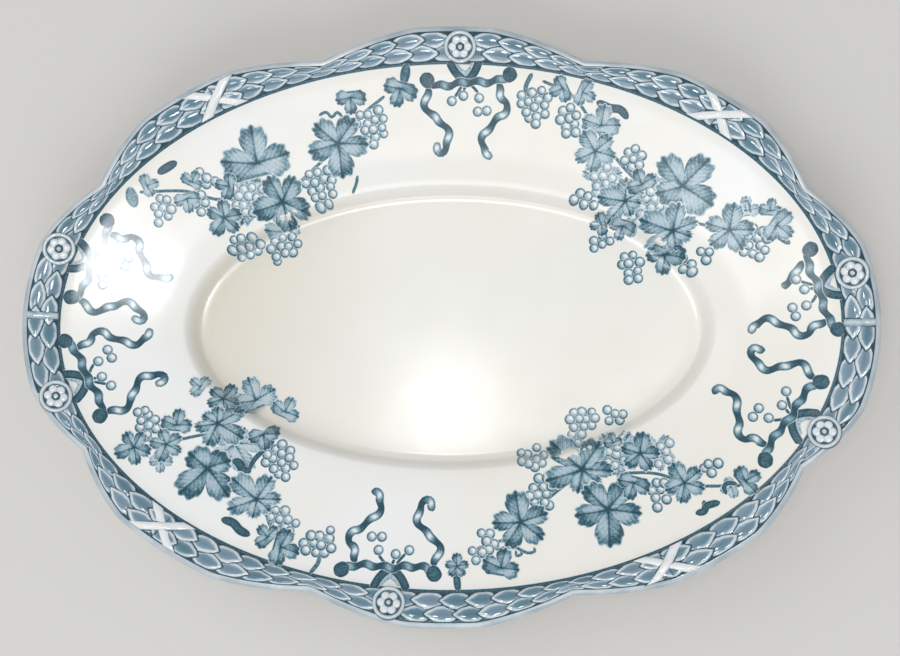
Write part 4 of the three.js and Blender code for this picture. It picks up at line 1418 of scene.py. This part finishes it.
# %% Layout of the sprays
SPRAYS = {
    "upper_left": {
        "stem": [
            *((-84, 36.5), (-72, 37), (-62, 35), (-53, 40), (-44, 38)),
            *((-36, 44), (-30, 50), (-24, 57), (-17, 62.5)),
        ],
        "strokes": [
            (2.0, 0.95, [(-79, 41.6), (-76.5, 43.2), (-73.8, 44.8)]),
            (0.5, 0.5, [(-24.8, 41.5), (-25.2, 39.5), (-26.3, 36.8)]),
            (0.5, 0.5, [(-35, 57.5), (-33, 58.3), (-31.5, 57), (-30, 58.3), (-28.5, 57)]),
            (2.4, 0.6, [(-10.8, 71), (-11.2, 68.5), (-11.8, 65.5)]),
            (3.2, 0.15, [(-86.6, 37.8), (-86, 35), (-85.2, 32.4)]),
        ],
        "back": [("fan_leaf", -54, 36.5, 250, 15, 0.05), ("trefoil", -46, 27, 100, 9, 0.15)],
        "bunches": [
            (-20.6, 54.6, 285, 14, 0.4),
            (-35, 38.5, 280, 15, 0.4),
            (-55, 35, 270, 16, 0.15),
            (-56.3, 22.5, 285, 10, 0.45),
            (-46.2, 22.5, 280, 11, 0.45),
            (-66.3, 40.3, 60, 5, 0.35),
            (-67.8, 33.8, 270, 4, 0.35),
            (-78, 32, 265, 8, 0.25),
        ],
        "leaves": [
            ("trefoil", -52.2, 44.7, 98, 17.8, 0.55),
            ("vine_leaf", -45.6, 34.4, 200, 15.5, 0.85),
            ("vine_leaf", -30, 50, 277, 16.5, 0.7),
            ("trefoil", -26.3, 62.2, 270, 8, 0.9),
            ("trefoil", -12.6, 64.5, 250, 9, 0.95),
            ("trefoil", -60, 38.5, 170, 7, 0.95),
            ("vine_leaf", -61.5, 30, 235, 10, 0.85),
            ("trefoil", -71.5, 35, 280, 7, 0.45),
            ("trefoil", -70, 39.5, 60, 6, 0.7),
            ("trefoil", -82, 38.2, 20, 6, 0.45),
        ],
    },
    "upper_right": {
        "stem": [(26, 66), (34, 62), (40, 54), (47, 44), (54, 37), (62, 30), (70, 27), (80, 25.5)],
        "strokes": [
            (1.9, 0.95, [(40.6, 60.3), (44, 58.6), (47, 58), (49, 55.6)]),
            (0.9, 0.5, [(23.2, 68), (21.6, 65), (21.4, 62.8)]),
            (0.45, 0.4, [(79.5, 32.8), (81, 33), (81.8, 30)]),
            (1.3, 0.6, [(88, 24.5), (90, 22.8), (92, 21.4)]),
        ],
        "back": [
            ("fan_leaf", 42.5, 40, 100, 11, 0.05),
            ("fan_leaf", 55, 32, 80, 15, 0.05),
            ("trefoil", 80.5, 30.5, 90, 7, 0.1),
        ],
        "bunches": [
            (23.8, 59.6, 285, 14, 0.5),
            (33.2, 55.4, 280, 9, 0.5),
            (50.6, 45.2, 285, 7, 0.45),
            (42, 40, 270, 8, 0.12),
            (37.3, 34.6, 260, 5, 0.5),
            (55, 33.5, 270, 12, 0.12),
            (50.4, 16.6, 285, 9, 0.5),
            (42, 23.6, 300, 5, 0.5),
            (70, 19.2, 330, 3, 0.5),
            (65.4, 16.4, 300, 4, 0.5),
            (83, 21.8, 320, 12, 0.5),
            (51.5, 28.5, 270, 6, 0.15),
        ],
        "leaves": [
            ("trefoil", 31.5, 64, 200, 7, 0.7),
            ("trefoil", 36.8, 62.8, 330, 7, 0.45),
            ("trefoil", 41.9, 54, 80, 10, 0.4),
            ("vine_leaf", 40.3, 47.3, 120, 11.5, 0.45),
            ("wing_leaf", 63.8, 37.5, 85, 17, 0.62),
            ("fan_leaf", 61.3, 25.8, 160, 16, 0.5),
            ("fan_leaf", 48.5, 34, 170, 13, 0.45),
            ("trefoil", 53, 38.3, 110, 8, 0.95),
            ("trefoil", 42.3, 28.5, 190, 6, 0.85),
            ("trefoil", 48, 27.8, 250, 7, 0.7),
            ("vine_leaf", 76.3, 25.6, 80, 13, 0.6),
            ("trefoil", 86.8, 30.3, 80, 6, 0.8),
            ("trefoil", 88.5, 26.5, 320, 9, 0.5),
            ("trefoil", 59.6, 20, 262, 10, 1.0),
        ],
    },
    "lower_left": {
        "stem": [(-84, -31), (-74, -31), (-64, -30), (-57, -38), (-51, -46), (-47, -55), (-42, -61)],
        "strokes": [
            (2.0, 0.95, [(-60.6, -52.2), (-57.5, -53.2), (-55.5, -55.2), (-52.8, -56.5)]),
            (2.3, 0.95, [(-58.5, -36.6), (-56.8, -37.2), (-55, -39.4), (-53.4, -38.4)]),
            (1.0, 0.9, [(-54, -39), (-52.6, -36.4), (-51, -34.6), (-48.8, -32.6), (-47.6, -30.6)]),
            (0.8, 0.45, [(-36.5, -66.5), (-34.5, -64), (-34, -62)]),
        ],
        "back": [("fan_leaf", -58, -32, 300, 15, 0.05), ("trefoil", -77.5, -36.5, 270, 6, 0.15)],
        "bunches": [
            (-81.8, -26, 120, 9, 0.5),
            (-45.6, -36.6, 300, 14, 0.4),
            (-44.3, -52.6, 330, 9, 0.3),
            (-34.4, -58.6, 80, 11, 0.45),
        ],
        "leaves": [
            ("trefoil", -53.6, -20, 110, 12, 0.35),
            ("trefoil", -45.5, -23.3, 60, 8, 0.5),
            ("vine_leaf", -62, -19.8, 60, 8.5, 0.9),
            ("fan_leaf", -63, -26.5, 330, 14, 0.6),
            ("paired_leaf", -65, -38.6, 266, 17, 0.9),
            ("trefoil", -50.6, -29.5, 280, 8, 0.85),
            ("fan_leaf", -51.5, -47, 140, 15, 0.45),
            ("trefoil", -48, -57, 130, 7, 0.85),
            ("trefoil", -44.6, -59.6, 340, 9.5, 0.85),
            ("trefoil", -73.8, -27, 80, 8, 0.75),
            ("vine_leaf", -84.7, -33, 200, 9.5, 0.8),
            ("vine_leaf", -76.3, -32.2, 250, 9, 0.6),
            ("trefoil", -68, -16.5, 140, 6, 0.3),
        ],
    },
    "lower_right": {
        "stem": [(8, -60), (18, -56), (28, -46), (36, -41), (46, -40), (56, -40), (66, -43), (78, -43)],
        "strokes": [
            (0.45, 0.5, [(13, -60.2), (16, -59.6), (19, -59.8), (20, -61.2), (18.6, -61.8), (18.4, -60.4)]),
            (0.45, 0.5, [(19, -59.8), (21.5, -61), (23.4, -60.6), (23.2, -59.6)]),
            (1.6, 0.95, [(66, -50.4), (68.2, -49.8), (69, -48.4), (72.4, -47.4)]),
            (1.2, 0.9, [(68.2, -47), (68.4, -48), (68.6, -48.8)]),
            (0.9, 0.8, [(77, -42.6), (74.6, -42.4), (73.6, -43.6), (74.2, -45.4)]),
            (1.6, 0.85, [(2.6, -66), (2.8, -68.5), (3.2, -71)]),
        ],
        "back": [
            ("fan_leaf", 45.5, -35.5, 60, 13, 0.05),
            ("fan_leaf", 56.5, -35, 60, 10, 0.05),
            ("trefoil", 75.5, -43.4, 200, 5.5, 0.1),
        ],
        "bunches": [
            (23, -36, 180, 9, 0.35),
            (25.3, -45, 330, 11, 0.45),
            (36.8, -25.3, 95, 10, 0.42),
            (45.6, -24.4, 80, 5, 0.45),
            (45, -34.6, 120, 9, 0.18),
            (57.3, -34.6, 60, 8, 0.12),
            (57, -45, 270, 8, 0.5),
            (70.3, -38.2, 20, 4, 0.55),
            (11, -57.8, 200, 5, 0.45),
            (8, -61.5, 200, 3, 0.35),
            (35, -29.6, 95, 4, 0.15),
        ],
        "leaves": [
            ("fan_leaf", 36.3, -39, 138, 19, 0.65),
            ("vine_leaf", 43, -49.6, 272, 17.5, 0.88),
            ("vine_leaf", 19.7, -53, 100, 15, 0.78),
            ("trefoil", 14.4, -65, 75, 9.5, 0.88),
            ("vine_leaf", 51.9, -34.6, 80, 10.5, 0.88),
            ("trefoil", 50, -42.4, 250, 8.5, 0.88),
            ("vine_leaf", 63.4, -42.4, 120, 11, 0.65),
            ("trefoil", 79.2, -41.9, 30, 7.8, 0.9),
            ("trefoil", 44.8, -31.8, 100, 5, 0.8),
            ("vine_leaf", 2.7, -64.6, 90, 6.3, 0.95),
        ],
    },
}
print("leaves per spray:", {quarter: len(spray["leaves"]) for quarter, spray in SPRAYS.items()})

# %% Print the sprays
STEM_WIDTH, STEM_TONE, TWIG_POINT = 0.5, 0.6, 1.3
GRAPE_LAYER, GRAPE_LAYERS, LEAF_LAYER = 5, 9, 15

for quarter, spray in SPRAYS.items():
    grapes = stamp("grapes_" + quarter, [grape for b in spray["bunches"] for grape in bunch(*b)])
    grapes[0][:, 2] = GRAPE_LAYER + np.mod(grapes[0][:, 2], GRAPE_LAYERS)
    front_leaves = stamp("leaves_" + quarter, spray["leaves"])
    front_leaves[0][:, 2] += LEAF_LAYER
    stem = stroke(spray["stem"], STEM_WIDTH, STEM_TONE)
    back_leaves = stamp("back_" + quarter, spray["back"])
    twigs = [stroke(path, w, tone, LEAF_LAYER, point=TWIG_POINT) for w, tone, path in spray["strokes"]]
    lay("vine_print_" + quarter, [stem, back_leaves, grapes, front_leaves, *twigs])

# %% [markdown]
# ## Bows
# A bow hangs from each rosette: two strokes like a roof, a bar with knobs, two curled tails and a few
# berries. It is drawn once in the rosette's own frame, along the border and towards the middle, and laid
# at six places by (shift, turn, stretch).

# %% Strokes of a bow
ROOF = [(-4.8, 3.4), (-2.9, 6.7), (0, 8.8), (2.9, 6.7), (4.8, 3.4)]
GABLE = [(-3.2, 4.6), (-1.7, 6.3), (0, 7.1), (1.7, 6.3), (3.2, 4.6)]
BAR = [(-13.6, 8.4), (-10, 9.6), (-5, 9.7), (0, 9.2), (5.5, 9.6), (10, 9.2), (12, 7.2)]
KNOBS = ([(-15.2, 7.2), (-13.4, 8.5), (-11.4, 9.2)], [(10.4, 9.3), (12, 7.8), (13, 5.9)])
TAILS = (
    [
        *((-9.9, 10.2), (-10, 13.4), (-11.8, 15.6), (-10.9, 18.2), (-8.6, 19.7)),
        *((-6, 21.5), (-3.6, 24.1), (-3.3, 26.2), (-4, 28.4), (-6.2, 29)),
    ],
    [
        *((11.7, 9.6), (12.9, 12.4), (13.3, 14.8), (12, 16.8), (10, 18)),
        *((7.4, 20.9), (7.1, 23.5), (8.2, 26.2), (10.1, 26.8), (11.6, 24.4)),
    ],
)
BERRIES = ((-5.5, 17.2), (-2.7, 17.2), (-3.5, 13.7), (1.3, 12.7), (5, 13.8))
STALKS = (
    [(-3.4, 12.4), (-2.4, 11.2), (-1.2, 10)],
    [(1, 11.4), (0.7, 10.7), (0.4, 10)],
    [(4, 12.9), (2.8, 11.6), (1.6, 10.2)],
)
SHORT_TAIL = [(9.5, 10.5), (8.5, 12), (6.9, 13.2), (5.2, 15.5), (4.6, 18)]
BOW_LAID = {
    "rosette_right_upper": (-0.8, 5, 0.88),
    "rosette_top": (-0.8, 6, 0.88),
    "rosette_left_upper": (0, 0, 0.9),
    "rosette_left_lower": (-0.8, 6, 0.88),
    "rosette_bottom": (0, 4.5, 0.97),
    "rosette_right_lower": (-1.2, -2.5, 1.0),
}
BOW_WIDTH, BOW_TONE, BOW_TWIST, KNOB_WIDTH = 2.2, 0.95, 6.4, 3.6
BAR_TWIST, BAR_BEAD, STALK_WIDTH, BERRY_TONE = 5.2, 0.3, 0.45, 0.4
ROOF_WIDTH, GABLE_WIDTH, GABLE_TONE = 1.9, 1.5, -0.45
TAIL_LAYER, STALK_LAYER, BERRY_LAYER, GABLE_LAYER, ROOF_LAYER, BAR_LAYER, KNOB_LAYER = range(1, 8)
print("bows hang from", list(BOW_LAID))


# %% Six bows
def bow(name, at):
    """Flat sheets of one bow, in layers from its tails up to its knobs."""
    frame = seat(at, border_middle(at))
    along, inward = (Vector(frame.col[i][:2]).normalized() for i in (0, 1))
    centre = Vector(frame.translation[:2]) / MM
    shift, turn, stretch = BOW_LAID[name]
    c, s = math.cos(math.radians(turn)), math.sin(math.radians(turn))

    def spot_at(u, v):
        """A point of the bow's own frame on the plate."""
        u = u * stretch + shift
        p = centre + along * (c * u - s * v) + inward * (s * u + c * v)
        return p.x, p.y

    def drawn(path, width, layer, twist=0.0, tone=BOW_TONE, bead=BEAD_FACE):
        """A stroke of the bow."""
        return stroke([spot_at(*p) for p in path], width, tone, layer, twist, bead=bead)

    tails = (TAILS[0], SHORT_TAIL) if name == "rosette_right_upper" else TAILS
    seats = [("grape", *spot_at(*p), 0, GRAPE_SIZE, BERRY_TONE) for p in BERRIES]
    berries = stamp("berries_" + name, seats)
    berries[0][:, 2] = BERRY_LAYER
    return [
        *(drawn(tail, BOW_WIDTH, TAIL_LAYER, BOW_TWIST) for tail in tails),
        *(drawn(stalk, STALK_WIDTH, STALK_LAYER) for stalk in STALKS),
        berries,
        drawn(GABLE, GABLE_WIDTH, GABLE_LAYER, tone=GABLE_TONE),
        drawn(ROOF, ROOF_WIDTH, ROOF_LAYER),
        drawn(BAR, BOW_WIDTH, BAR_LAYER, BAR_TWIST, bead=BAR_BEAD),
        *(drawn(knob, KNOB_WIDTH, KNOB_LAYER) for knob in KNOBS),
    ]


for name, at in ROSETTES.items():
    lay("bow_print_" + name.replace("rosette_", ""), bow(name, at))

# %% [markdown]
# ## The line inside the border
# A thin dark line closes the border on its inner side. It is one stroke along an ellipse of the same
# family.

# %% Border line
LINE_WIDTH, LINE_TONE, LINE_INSET, LINE_STEP = 0.6, 0.85, 0.2, 3

line_a, line_b = VERGE_A + BORDER_INNER - LINE_INSET, VERGE_B + BORDER_INNER - LINE_INSET
line = [(line_a * math.cos(t), line_b * math.sin(t)) for t in np.radians(np.arange(0, 361, LINE_STEP))]
lay("border_line", [stroke(line, LINE_WIDTH, LINE_TONE, point=0)])
for drawing in list(drawings.objects):
    bpy.data.objects.remove(drawing)
bpy.data.collections.remove(drawings)
